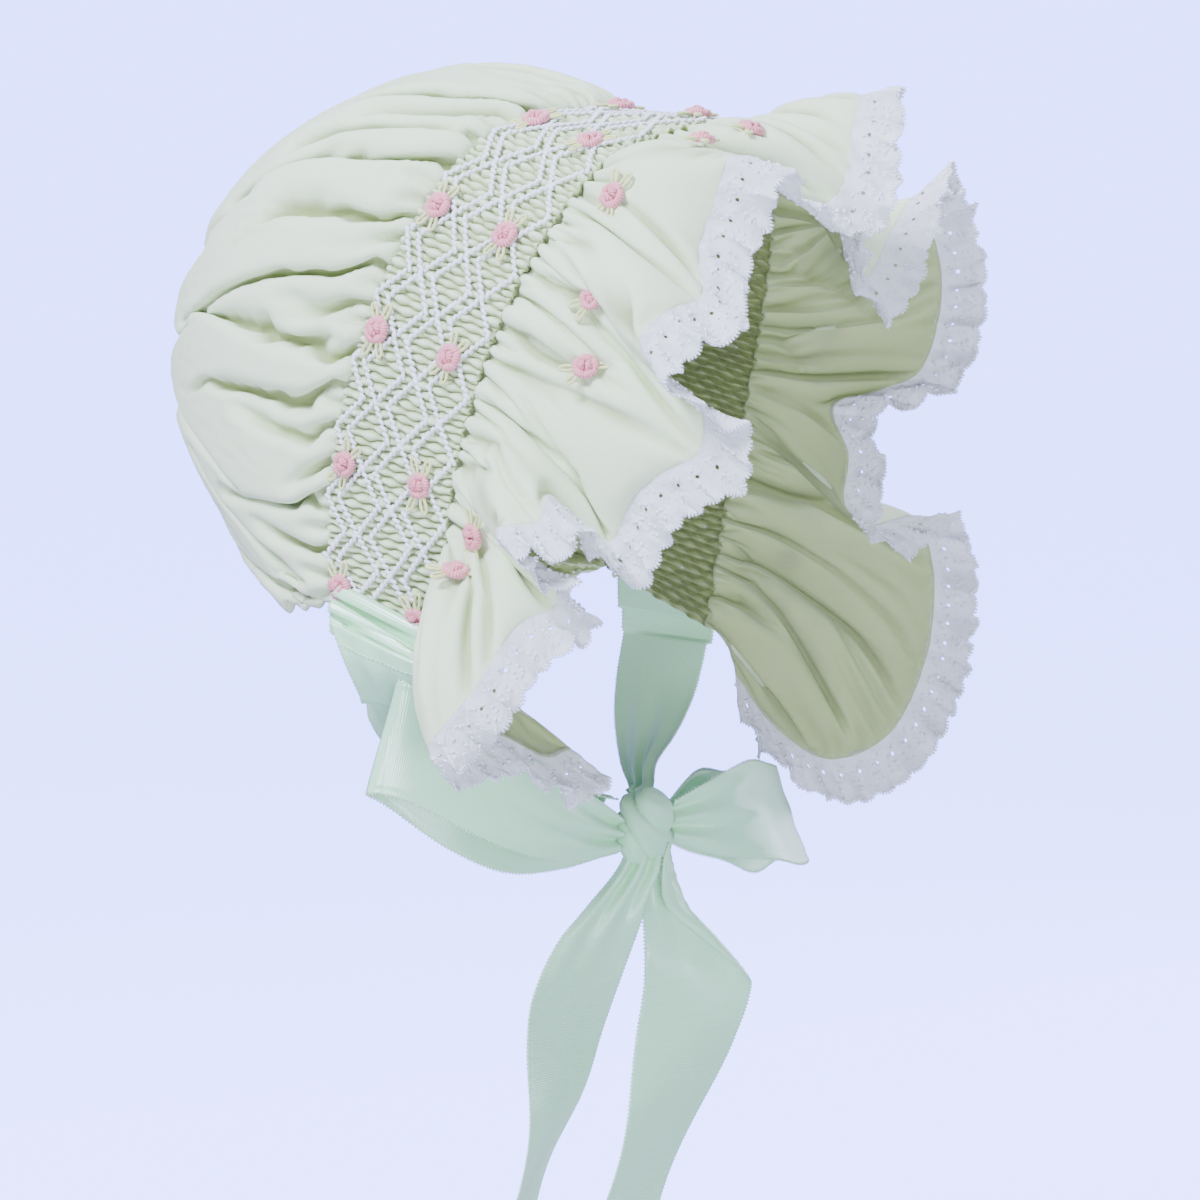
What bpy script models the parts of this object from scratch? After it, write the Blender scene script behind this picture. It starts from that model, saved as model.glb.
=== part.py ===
"""Baby bonnet in pale mint cotton.

A gathered crown, a smocked band over the head, a fluted brim with an eyelet
lace edge, and two satin ties in a bow under the chin. The origin is the top of
the band, where the bonnet sits on the head. The face looks to -Y and +Z is up.
Sizes are in millimetres and become metres when a piece is made.
"""
import math

import bmesh
import bpy
import numpy as np

MM = 0.001

# Driving sizes
COTTON_WALL = 1.2
BAND_WALL = 2.2
LACE_WALL = 1.0
RIBBON_WALL = 1.0
SEAM_GAP = 0.4
CROWN_GAP = SEAM_GAP + COTTON_WALL / 2
LACE_GAP = 1.0
BAND_WIDTH_TOP = 44.0
BAND_WIDTH_EAR = 40.0
LACE_WIDTH = 15.0
RIBBON_WIDTH = 32.0

# Crown: puffs round its open edge, and the share of that edge that meets the band
CROWN_PUFFS = 36
SAMPLES_PER_PUFF = 3
BAND_SHARE = 0.76
PUFF_HEIGHT = 4.4
RING_BACK = 158.0
RING_HEIGHT = -67.0
RING_RADIUS = 13.0
RING_HALF_TURN = math.radians(135.0)

# Brim: columns along its edge, and the fine gathers where it meets the band
BRIM_COLUMNS = 108
BRIM_GATHERS = 27
GATHER_HEIGHT = 1.3

# Colours of the cloth, linear RGB
MINT = (0.68, 0.83, 0.66, 1.0)
MINT_SATIN = (0.52, 0.79, 0.62, 1.0)
WHITE = (0.88, 0.89, 0.91, 1.0)

# Middle line of the band, from the top of the head down to one ear
# side, back, height
BAND_LINE = [
    (0.0, 0.0, 0.0),
    (22.0, 3.8, -2.0),
    (43.0, 13.0, -11.0),
    (60.0, 23.0, -33.0),
    (70.5, 34.0, -66.0),
    (72.5, 43.0, -104.0),
    (68.0, 47.0, -143.0),
]

# Free edge of the crown at the nape, from the far ear to the middle
# side, back, height
NAPE_LINE = [
    (68.0, 68.0, -143.0),
    (62.0, 85.0, -138.0),
    (47.0, 107.0, -132.0),
    (25.0, 123.0, -126.0),
    (0.0, 129.0, -122.0),
]

# How each rib of the crown swells on its way from the open edge to the back ring
# place: 0 top of the head, 1 ear corner, 2 middle of the nape
# lift, run: first control point, outwards and backwards from the edge
# swell, reach: second control point, its radius and its place along the back
CROWN_RIBS = [
    # place, lift, run, swell, reach
    (0.0, 36.0, 42.0, 62.0, 148.0),
    (0.5, 18.0, 44.0, 55.0, 150.0),
    (0.8, 8.0, 44.0, 48.0, 152.0),
    (1.0, -4.0, 32.0, 45.0, 152.0),
    (1.5, -6.0, 14.0, 32.0, 152.0),
    (2.0, -2.0, 10.0, 28.0, 152.0),
]

# Drawn-up cloth inside the back ring
# radius, back
RING_RUCHE = [
    (13.0, 158.0),
    (12.5, 163.0),
    (8.5, 165.5),
    (3.4, 163.0),
]

# Outer edge of the brim's lace, from the near ear to the far ear
# place: share of the band's front edge that the fold hangs from
# side, back, height: the edge; swell: how far the cloth bellies outwards on its way
BRIM_EDGE = [
    # place, side, back, height, swell
    (0.000, -40.0, -10.0, -184.0, 2.0),
    (0.012, -62.0, -12.0, -187.0, 2.0),
    (0.025, -84.0, -10.0, -177.0, 15.0),
    (0.045, -107.0, -3.0, -179.0, 30.0),
    (0.068, -104.0, -18.0, -162.0, 26.0),
    (0.088, -92.0, -24.0, -145.0, 12.0),
    (0.105, -82.0, -29.0, -141.0, 2.0),
    (0.122, -88.0, -31.0, -129.0, 3.0),
    (0.142, -104.0, -21.0, -118.0, 8.0),
    (0.160, -93.0, -31.0, -116.0, 8.0),
    (0.175, -88.0, -31.0, -110.0, 7.0),
    (0.190, -76.0, -30.0, -118.0, 4.0),
    (0.205, -66.0, -36.0, -127.0, 1.0),
    (0.222, -67.0, -46.0, -112.0, 2.0),
    (0.240, -66.0, -57.0, -104.0, 4.0),
    (0.262, -62.0, -66.0, -99.0, 6.0),
    (0.280, -61.0, -66.0, -86.0, 6.0),
    (0.298, -71.0, -61.0, -80.0, 7.0),
    (0.314, -80.0, -55.0, -70.0, 8.0),
    (0.328, -70.0, -60.0, -61.0, 7.0),
    (0.341, -58.0, -63.0, -58.0, 5.0),
    (0.353, -52.0, -60.0, -51.0, 5.0),
    (0.367, -47.0, -57.0, -44.0, 5.0),
    (0.382, -41.0, -60.0, -30.0, 6.0),
    (0.400, -34.0, -62.0, -15.0, 8.0),
    (0.428, -16.0, -59.0, -25.0, 4.0),
    (0.458, 3.0, -65.0, -33.0, 1.0),
    (0.488, 8.0, -71.0, -24.0, 2.0),
    (0.515, 13.0, -70.0, -5.0, 5.0),
    (0.538, 18.0, -67.0, 6.0, 8.0),
    (0.557, 28.0, -58.0, -4.0, 7.0),
    (0.577, 35.0, -49.0, -22.0, 4.0),
    (0.600, 42.0, -41.0, -44.0, 2.0),
    (0.625, 50.0, -44.0, -57.0, 2.0),
    (0.652, 59.0, -48.0, -50.0, 3.0),
    (0.678, 68.0, -51.0, -29.0, 5.0),
    (0.702, 80.0, -50.0, -15.0, 7.0),
    (0.727, 89.0, -54.0, -35.0, 6.0),
    (0.750, 91.0, -54.0, -54.0, 5.0),
    (0.770, 90.0, -48.0, -75.0, 5.0),
    (0.792, 84.0, -38.0, -81.0, 4.0),
    (0.812, 75.0, -26.0, -86.0, 2.0),
    (0.832, 77.0, -29.0, -104.0, 2.0),
    (0.850, 75.0, -27.0, -121.0, 2.0),
    (0.866, 83.0, -33.0, -127.0, 2.0),
    (0.884, 92.0, -37.0, -123.0, 3.0),
    (0.903, 100.5, -41.0, -119.0, 4.0),
    (0.920, 104.5, -43.0, -127.0, 5.0),
    (0.934, 104.0, -45.0, -144.0, 5.0),
    (0.948, 103.0, -41.0, -169.0, 4.0),
    (0.962, 98.0, -29.0, -194.0, 4.0),
    (0.978, 92.0, -9.0, -205.0, 3.0),
    (0.990, 79.0, 4.0, -197.0, 2.0),
    (1.000, 66.0, 14.0, -181.0, 2.0),
]

# Ribbon routes. side, back, height: its middle; width; yaw, pitch: the way across it, in degrees
# The tie on the near side is folded under at the ear and runs below the chin to the knot
TIE_RIGHT = [
    # side, back, height, width, yaw, pitch
    (-70.2, 47.0, -148.5, 31.0, -90.0, -5.0),
    (-70.7, 47.0, -142.0, 32.0, -90.0, -7.0),
    (-71.5, 47.0, -137.0, 32.0, -90.0, -9.0),
    (-73.0, 47.0, -135.4, 32.0, -90.0, -9.0),
    (-74.6, 47.0, -137.5, 32.0, -90.0, -8.0),
    (-74.6, 47.0, -147.0, 32.0, -90.0, -6.0),
    (-72.5, 47.0, -158.0, 32.0, -88.0, -4.0),
    (-63.0, 50.0, -168.0, 28.0, -86.0, -2.0),
    (-50.0, 49.0, -178.0, 25.0, -80.0, 2.0),
    (-35.0, 41.0, -186.0, 20.0, -70.0, 6.0),
    (-20.0, 29.0, -192.0, 15.0, -60.0, 8.0),
    (-7.4, 16.9, -195.1, 11.0, -52.0, 8.0),
]
TIE_LEFT = [
    (70.2, 47.0, -148.5, 31.0, -90.0, -5.0),
    (70.7, 47.0, -142.0, 32.0, -90.0, -7.0),
    (71.5, 47.0, -137.0, 32.0, -90.0, -9.0),
    (73.0, 47.0, -135.4, 32.0, -90.0, -9.0),
    (74.6, 47.0, -137.5, 32.0, -90.0, -8.0),
    (74.6, 47.0, -147.0, 32.0, -90.0, -6.0),
    (72.0, 46.5, -158.0, 32.0, -92.0, -4.0),
    (65.0, 45.0, -170.0, 30.0, -96.0, -2.0),
    (51.0, 40.0, -181.0, 26.0, -104.0, 2.0),
    (34.0, 31.0, -189.0, 21.0, -114.0, 6.0),
    (19.0, 20.0, -194.5, 15.0, -122.0, 8.0),
    (8.8, 15.9, -195.3, 11.0, -128.0, 8.0),
]
LOOP_RIGHT = [
    (-10.1, 8.0, -204.5, 10.0, -10.0, 84.0),
    (-24.0, 12.0, -200.5, 20.0, -20.0, 80.0),
    (-40.0, 18.0, -193.0, 28.0, -30.0, 78.0),
    (-58.0, 24.0, -184.0, 32.0, -30.0, 78.0),
    (-74.0, 31.0, -176.0, 32.0, -30.0, 78.0),
    (-83.0, 37.5, -172.5, 32.0, -30.0, 78.0),
    (-83.0, 42.5, -173.0, 32.0, -30.0, 78.0),
    (-76.0, 40.5, -177.5, 32.0, -30.0, 78.0),
    (-61.0, 31.5, -189.0, 32.0, -30.0, 80.0),
    (-43.0, 24.0, -198.0, 28.0, -30.0, 82.0),
    (-26.0, 17.5, -204.0, 18.0, -20.0, 84.0),
    (-9.6, 11.3, -206.0, 9.0, -10.0, 84.0),
]
LOOP_LEFT = [
    (9.2, 2.7, -202.0, 12.0, 135.0, 90.0),
    (22.0, -6.0, -201.0, 24.0, 135.0, 88.0),
    (38.0, -10.0, -201.0, 30.0, 135.0, 80.0),
    (53.0, -9.0, -204.0, 32.0, 135.0, 72.0),
    (65.0, -5.0, -207.0, 32.0, 135.0, 66.0),
    (70.0, 1.5, -208.5, 32.0, 135.0, 65.0),
    (65.0, 7.0, -209.0, 32.0, 135.0, 68.0),
    (53.0, 8.0, -208.0, 32.0, 135.0, 74.0),
    (39.0, 8.0, -204.0, 28.0, 135.0, 80.0),
    (23.0, 7.0, -202.5, 20.0, 135.0, 88.0),
    (10.5, 6.5, -202.0, 10.0, 135.0, 90.0),
]
TAIL_RIGHT = [
    (-4.5, 6.0, -214.8, 13.0, -50.0, 8.0),
    (-9.0, 10.0, -224.0, 19.0, -44.0, 10.0),
    (-14.0, 13.5, -234.0, 27.0, -34.0, 8.0),
    (-19.0, 16.5, -248.0, 32.0, -18.0, 4.0),
    (-22.0, 19.5, -264.0, 32.0, -2.0, 0.0),
    (-24.0, 22.0, -282.0, 32.0, 8.0, -2.0),
    (-27.0, 26.0, -301.0, 32.0, 16.0, -2.0),
    (-30.0, 31.0, -325.0, 32.0, 22.0, 0.0),
]
# flap: how much of the width is folded forwards over the rest, as the ribbon leaves the knot
TAIL_LEFT = [
    # side, back, height, width, yaw, pitch, flap
    (4.4, 2.8, -214.5, 13.0, -56.0, 0.0, 5.0),
    (8.0, 0.5, -226.0, 20.0, -56.0, -4.0, 8.0),
    (12.0, -1.5, -236.0, 27.0, -54.0, -8.0, 6.0),
    (14.5, -2.5, -245.0, 31.0, -50.0, -8.0, 2.4),
    (15.0, -2.0, -254.0, 32.0, -40.0, -4.0, 0.0),
    (13.0, 1.0, -268.0, 32.0, -26.0, 0.0, 0.0),
    (9.5, 4.5, -284.0, 32.0, -14.0, 2.0, 0.0),
    (5.5, 9.0, -303.0, 32.0, -6.0, 2.0, 0.0),
    (1.0, 14.5, -325.0, 32.0, 2.0, 2.0, 0.0),
]

# Knot: half sizes of its rounded body and its middle
KNOT_MIDDLE = (0.0, 6.5, -202.8)
KNOT_HALF = (9.6, 7.2, 11.0)


def smooth_rows(rows, places):
    """Reads a table at places 0..1 along it, on a Catmull-Rom curve through its rows."""
    rows = np.asarray(rows, float)
    last = len(rows) - 1
    along = np.clip(np.asarray(places, float), 0.0, 1.0) * last
    first = np.minimum(np.floor(along).astype(int), last - 1)
    t = (along - first)[:, None]
    padded = np.vstack([2 * rows[0] - rows[1], rows, 2 * rows[-1] - rows[-2]])
    a, b, c, d = (padded[first + k] for k in range(4))
    return 0.5 * (2 * b + (c - a) * t + (2 * a - 5 * b + 4 * c - d) * t**2 + (3 * b - a - 3 * c + d) * t**3)


def even_places(points):
    """Share of the length at each point of a line."""
    step = np.linalg.norm(np.diff(points, axis=0), axis=1)
    run = np.concatenate([[0.0], np.cumsum(step)])
    return run / run[-1]


def unit(v):
    return v / np.linalg.norm(v, axis=-1, keepdims=True)


def mirrored(half):
    """Near ear to far ear, from a table that runs from the middle to one ear."""
    half = np.asarray(half, float)
    return np.vstack([half[::-1] * (-1, 1, 1), half[1:]])


BAND_ROWS = mirrored(BAND_LINE)
FINE = np.linspace(0.0, 1.0, 601)
BAND_SHARES = even_places(smooth_rows(BAND_ROWS, FINE))


def band_line(share):
    return smooth_rows(BAND_ROWS, np.interp(share, BAND_SHARES, FINE))


def band_axes(share):
    """Along the band, across it towards the face, and outwards."""
    share = np.asarray(share, float)
    along = unit(band_line(np.clip(share + 0.001, 0, 1)) - band_line(np.clip(share - 0.001, 0, 1)))
    ahead = np.array([0.0, -1.0, -0.1])
    across = unit(ahead - (along @ ahead)[:, None] * along)
    return along, across, np.cross(across, along)


def band_width(share):
    return BAND_WIDTH_TOP + (BAND_WIDTH_EAR - BAND_WIDTH_TOP) * (2 * np.asarray(share) - 1) ** 2


def band_point(share, across_mm):
    """A point of the band, across_mm in front of its middle line."""
    return band_line(share) + band_axes(share)[1] * np.asarray(across_mm)[..., None]


def band_edge(share, front, gap=0.0):
    side = 1.0 if front else -1.0
    return band_point(share, side * (band_width(share) / 2 + gap))


def surface_normals(points, closed=False):
    """Unit normals of a grid of points, rows along u and columns along v."""
    if closed:
        du = np.roll(points, -1, axis=0) - np.roll(points, 1, axis=0)
    else:
        du = np.gradient(points, axis=0)
    dv = np.gradient(points, axis=1)
    n = np.cross(du, dv)
    return n / np.maximum(np.linalg.norm(n, axis=-1, keepdims=True), 1e-9)


def cloth(name, points, wall, material, closed=False):
    """A sheet: a grid laid on the points, its seam welded where it is closed, with a wall by Solidify."""
    columns, rows = points.shape[:2]
    grid = np.concatenate([points, points[:1]]) if closed else points
    bm = bmesh.new()
    bmesh.ops.create_grid(bm, x_segments=len(grid) - 1, y_segments=rows - 1, size=0.5)
    for vert in bm.verts:
        i = round((vert.co.x + 0.5) * (len(grid) - 1))
        j = round((vert.co.y + 0.5) * (rows - 1))
        vert.co = grid[i, j] * MM
    if closed:
        bmesh.ops.remove_doubles(bm, verts=bm.verts, dist=1e-7)
    mesh = bpy.data.meshes.new(name)
    bm.to_mesh(mesh)
    bm.free()
    mesh.shade_smooth()
    piece = bpy.data.objects.new(name, mesh)
    mesh.materials.append(material)
    BONNET.objects.link(piece)
    solid = piece.modifiers.new("wall", "SOLIDIFY")
    solid.thickness = wall * MM
    solid.offset = 0.0
    solid.use_even_offset = False
    return piece


def fabric(name, colour, roughness, sheen):
    material = bpy.data.materials.new(name)
    material.use_nodes = True
    shader = material.node_tree.nodes["Principled BSDF"]
    shader.inputs["Base Color"].default_value = colour
    shader.inputs["Roughness"].default_value = roughness
    shader.inputs["Metallic"].default_value = 0.0
    shader.inputs["Sheen Weight"].default_value = sheen
    return material


for old in list(bpy.data.objects):
    bpy.data.objects.remove(old, do_unlink=True)
BONNET = bpy.data.collections.new("baby_bonnet")
bpy.context.scene.collection.children.link(BONNET)

COTTON = fabric("mint_cotton", MINT, 0.85, 0.3)
SATIN = fabric("mint_satin", MINT_SATIN, 0.32, 0.1)
LACE = fabric("white_eyelet_lace", WHITE, 0.9, 0.2)


# Smocked band
def smocked_band():
    share = np.linspace(0.0, 1.0, 45)
    across = np.linspace(-0.5, 0.5, 6)
    grid = np.stack([band_point(share, w * band_width(share)) for w in across], axis=1)
    crest = 0.5 * np.sin(np.arange(6) * math.pi * 0.8) ** 2
    grid += band_axes(share)[2][:, None] * crest[None, :, None]
    cloth("smocked_band", grid, BAND_WALL, COTTON)


# Crown
def crown_edge(place):
    """Its open edge: along the band from the near ear to the far ear, then round the nape."""
    place = np.asarray(place, float)
    edge = np.zeros((len(place), 3))
    on_band = place <= BAND_SHARE
    edge[on_band] = band_edge(place[on_band] / BAND_SHARE, False, CROWN_GAP)
    nape = np.vstack([NAPE_LINE, np.asarray(NAPE_LINE)[-2::-1] * (-1, 1, 1)])
    nape[0] = band_edge(np.array([1.0]), False, CROWN_GAP)[0]
    nape[-1] = band_edge(np.array([0.0]), False, CROWN_GAP)[0]
    edge[~on_band] = smooth_rows(nape, (place[~on_band] - BAND_SHARE) / (1 - BAND_SHARE))
    return edge


def crown_points(place, rib_steps, ruche_steps):
    """Ribs from the open edge, swelling and closing on the ring, then the ruche inside it."""
    place = np.asarray(place, float)
    edge = crown_edge(place)
    rise = edge[:, 2] - RING_HEIGHT
    radius = np.hypot(edge[:, 0], rise)
    turn = np.unwrap(np.arctan2(-edge[:, 0], rise))
    turn -= 2 * math.pi * round((turn[0] - RING_HALF_TURN) / (2 * math.pi))
    half = place / BAND_SHARE
    ring_turn = np.where(
        place <= BAND_SHARE,
        RING_HALF_TURN * (1 - 2 * half),
        -RING_HALF_TURN - 2 * (math.pi - RING_HALF_TURN) * (place - BAND_SHARE) / (1 - BAND_SHARE))
    where = np.where(
        place <= BAND_SHARE,
        np.abs(2 * half - 1),
        2 - np.abs(2 * (place - BAND_SHARE) / (1 - BAND_SHARE) - 1))
    table = np.asarray(CROWN_RIBS)
    lift, run, swell, reach = (np.interp(where, table[:, 0], table[:, k]) for k in range(1, 5))
    t = np.asarray(rib_steps)[None, :]
    b0, b1, b2, b3 = (1 - t) ** 3, 3 * t * (1 - t) ** 2, 3 * t * t * (1 - t), t**3
    rad = b0 * radius[:, None] + b1 * (radius + lift)[:, None] + b2 * swell[:, None] + b3 * RING_RADIUS
    back = b0 * edge[:, 1:2] + b1 * (edge[:, 1] + run)[:, None] + b2 * reach[:, None] + b3 * RING_BACK
    blend = t * t * (3 - 2 * t)
    ang = turn[:, None] * (1 - blend) + ring_turn[:, None] * blend
    ruche = smooth_rows(RING_RUCHE, np.asarray(ruche_steps))
    rad = np.hstack([rad, np.tile(ruche[:, 0], (len(place), 1))])
    back = np.hstack([back, np.tile(ruche[:, 1], (len(place), 1))])
    ang = np.hstack([ang, np.tile(ring_turn[:, None], (1, len(ruche)))])
    return np.stack([-rad * np.sin(ang), back, RING_HEIGHT + rad * np.cos(ang)], axis=-1)


def crown():
    count = CROWN_PUFFS * SAMPLES_PER_PUFF
    place = np.arange(count) / count
    ribs = [0.0, 0.05, 0.15, 0.3, 0.45, 0.6, 0.74, 0.88, 1.0]
    base = crown_points(place, ribs, [0.34, 0.67, 1.0])
    out = surface_normals(base, closed=True)
    middle = np.array([0.0, 80.0, -70.0])
    out *= np.sign(((base - middle) * out).sum(-1, keepdims=True))
    swell = np.array([0.2, 0.5, 0.95, 1.0, 0.95, 0.8, 0.55, 0.3, 0.12, 0.1, 0.0, 0.0])
    valley = np.abs(np.sin(math.pi * CROWN_PUFFS * place)) - 0.5
    corner = np.minimum(np.abs(place - BAND_SHARE), np.minimum(place, 1 - place))
    size = (1 + 0.25 * np.sin(11 * 2 * math.pi * place + 1.0)) * np.clip(0.3 + 14 * corner, 0, 1)
    grid = base + out * (PUFF_HEIGHT * (valley * size)[:, None] * swell[None])[..., None]
    cloth("crown", grid, COTTON_WALL, COTTON, closed=True)


# Brim and its lace, on one set of lines from the band's front edge to the outer edge
EDGE_ROWS = np.asarray(BRIM_EDGE)
EDGE_SHARES = even_places(smooth_rows(EDGE_ROWS, FINE)[:, 1:4])


def brim_lines(places, depths):
    """Points at depths 0..1 from the seam with the band to the lace's outer edge."""
    row = smooth_rows(EDGE_ROWS, np.interp(places, EDGE_SHARES, FINE))
    share = np.clip(row[:, 0], 0, 1)
    along, across, out = band_axes(share)
    start = band_edge(share, True, CROWN_GAP)
    end = row[:, 1:4]
    reach = np.linalg.norm(end - start, axis=1)[:, None]
    belly = row[:, 4:5]
    first = start + across * 0.34 * reach + out * belly
    second = start + (end - start) * 0.70 + out * belly * 0.8
    t = np.asarray(depths)[None, :, None]
    line = ((1 - t) ** 3 * start[:, None] + 3 * t * (1 - t) ** 2 * first[:, None]
            + 3 * t * t * (1 - t) * second[:, None] + t**3 * end[:, None])
    return line, share, out, reach[:, 0]


def brim_grid(places, depths, gathers, height):
    line, share, out, reach = brim_lines(places, depths)
    fade = np.sin(np.clip(np.asarray(depths) / 0.75, 0, 1) * math.pi) ** 0.8 * (np.asarray(depths) < 0.75)
    wave = np.sin(2 * math.pi * gathers * share)
    return line + out[:, None] * (height * wave[:, None] * fade[None])[..., None], reach


def brim():
    places = np.linspace(0, 1, BRIM_COLUMNS + 1)
    full = np.array([0.0, 0.1, 0.25, 0.42, 0.6, 0.8, 1.0])
    _, _, _, reach = brim_lines(places, [0.0])
    seam = 1 - (LACE_WIDTH + LACE_GAP) / reach
    grid = np.stack([brim_grid(places, full * s, BRIM_GATHERS, GATHER_HEIGHT)[0][k] for k, s in enumerate(seam)])
    cloth("brim", grid, COTTON_WALL, COTTON)


def lace_trim():
    places = np.linspace(0, 1, BRIM_COLUMNS + 1)
    _, _, _, reach = brim_lines(places, [0.0])
    seam = 1 - LACE_WIDTH / reach
    grid = np.stack([brim_lines(places, [s, 1.0])[0][k] for k, s in enumerate(seam)])
    cloth("lace_trim", grid, LACE_WALL, LACE)


# Ribbons
def ribbon_points(rows, lengths, crossings):
    """A strip along a route, its width laid along the yaw and pitch of each row."""
    rows = np.asarray(rows, float)
    row = smooth_rows(rows, np.interp(lengths, even_places(smooth_rows(rows, FINE)[:, :3]), FINE))
    yaw, pitch = np.radians(row[:, 4]), np.radians(row[:, 5])
    across = np.stack([np.cos(pitch) * np.cos(yaw), np.cos(pitch) * np.sin(yaw), np.sin(pitch)], axis=-1)
    u = np.asarray(crossings)[None, :]
    offset = u * row[:, 3:4]
    lift = np.zeros_like(offset)
    if rows.shape[1] > 6:
        flap = np.maximum(row[:, 6:7], 0.0)
        crease = row[:, 3:4] / 2 - flap
        over = np.maximum(offset - crease, 0.0)
        lift = np.where(flap > 0.3, np.minimum(over, 2.6), 0.0)
        offset = offset - np.where(flap > 0.3, 2 * np.maximum(over - 2.6 * 0.6, 0.0), 0.0)
    along = unit(np.gradient(row[:, :3], axis=0))
    front = unit(np.cross(along, across))
    front *= np.sign(-front[:, 1:2])
    return row[:, None, :3] + across[:, None] * offset[..., None] + front[:, None] * lift[..., None]


def ribbon(name, rows, steps, crossings=3):
    grid = ribbon_points(rows, np.linspace(0, 1, steps + 1), np.linspace(-0.5, 0.5, crossings))
    cloth(name, grid, RIBBON_WALL, SATIN)


def bow_knot():
    bm = bmesh.new()
    bmesh.ops.create_uvsphere(bm, u_segments=16, v_segments=10, radius=1.0)
    for vert in bm.verts:
        p = np.array(vert.co)
        p = np.sign(p) * np.abs(p) ** 0.8
        crease = 1 - 0.07 * math.cos(3 * math.pi * p[0])
        vert.co = (np.array(KNOT_MIDDLE) + p * KNOT_HALF * (1, crease, crease)) * MM
    mesh = bpy.data.meshes.new("bow_knot")
    bm.to_mesh(mesh)
    bm.free()
    mesh.shade_smooth()
    mesh.materials.append(SATIN)
    BONNET.objects.link(bpy.data.objects.new("bow_knot", mesh))


smocked_band()
crown()
brim()
lace_trim()
ribbon("tie_right", TIE_RIGHT, 18)
ribbon("tie_left", TIE_LEFT, 18)
ribbon("bow_loop_right", LOOP_RIGHT, 22)
ribbon("bow_loop_left", LOOP_LEFT, 22)
ribbon("tail_right", TAIL_RIGHT, 12)
ribbon("tail_left", TAIL_LEFT, 16, 5)
bow_knot()
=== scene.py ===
"""Looks of a hand-smocked baby bonnet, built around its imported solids."""
import math

import bpy
import numpy as np
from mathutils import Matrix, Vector


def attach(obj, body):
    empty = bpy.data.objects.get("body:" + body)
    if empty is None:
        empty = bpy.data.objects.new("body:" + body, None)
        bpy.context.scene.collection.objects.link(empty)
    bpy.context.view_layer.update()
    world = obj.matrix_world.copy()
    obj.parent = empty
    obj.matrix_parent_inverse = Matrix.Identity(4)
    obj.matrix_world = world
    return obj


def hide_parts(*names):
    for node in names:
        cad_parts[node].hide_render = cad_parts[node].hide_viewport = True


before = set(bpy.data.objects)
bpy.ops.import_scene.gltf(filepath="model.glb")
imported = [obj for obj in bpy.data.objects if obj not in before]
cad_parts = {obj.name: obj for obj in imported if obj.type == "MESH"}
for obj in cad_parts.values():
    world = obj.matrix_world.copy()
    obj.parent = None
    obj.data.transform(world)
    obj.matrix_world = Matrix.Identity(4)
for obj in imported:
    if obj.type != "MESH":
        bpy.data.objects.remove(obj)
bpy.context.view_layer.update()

# Studio
# A pale floor well below the ribbon ends, soft light from above and both sides,
# and the camera at the photograph's angle: 34 degrees ahead of the side, 5 above.
CAMERA_BACK = Vector((-0.8259, -0.5571, 0.0872))
CAMERA_PLACE = (-0.97764, -0.63745, -0.03455)
CAMERA_LENS = 122.4
FLOOR_HEIGHT = -0.42
LIGHTS = [
    # name, place, size, power, colour
    ("key", (-1.15, 0.25, 1.05), 0.60, 62.0, (0.87, 0.93, 1.16)),
    ("overhead", (0.30, 0.0, 1.35), 0.9, 20.0, (0.87, 0.92, 1.14)),
    ("near_side", (-1.10, -0.95, -0.55), 0.8, 62.0, (0.88, 0.93, 1.10)),
    ("far_side", (1.15, -0.35, 0.15), 0.9, 18.0, (0.84, 0.90, 1.14)),
]
AIR_SEEN = (2.10, 2.55, 8.2)
AIR_LIGHT = (0.31, 0.32, 0.40)
PAPER_GLOW = (1.95, 2.40, 8.0)
GLOSSY_SHARE = 0.12


def placed(piece):
    """Links a new object into the scene."""
    bpy.context.scene.collection.objects.link(piece)
    return piece


def set_inputs(node, values):
    """Sets a node's own sockets by name. A colour may leave out its alpha."""
    for name, value in values.items():
        socket = node.inputs[name]
        if isinstance(value, tuple) and len(value) < len(socket.default_value):
            value = (*value, 1.0)
        socket.default_value = value
    return node


def principled(name, values):
    """A material, its node tree and its shader with these values."""
    material = bpy.data.materials.new(name)
    material.use_nodes = True
    tree = material.node_tree
    return material, tree, set_inputs(tree.nodes["Principled BSDF"], values)


camera = placed(bpy.data.objects.new("camera", bpy.data.cameras.new("camera")))
camera.location = CAMERA_PLACE
camera.rotation_euler = (-CAMERA_BACK).to_track_quat("-Z", "Y").to_euler()
camera.data.sensor_width = 36.0
camera.data.lens = CAMERA_LENS
camera.data.clip_start = 0.01
bpy.context.scene.camera = camera

for name, place, size, power, colour in LIGHTS:
    lamp = bpy.data.lights.new(name, "AREA")
    lamp.size = size
    lamp.energy = power
    lamp.color = colour
    light = placed(bpy.data.objects.new(name, lamp))
    light.location = place
    aim = Vector((0.0, 0.03, -0.12)) - Vector(place)
    light.rotation_euler = aim.to_track_quat("-Z", "Y").to_euler()

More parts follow.
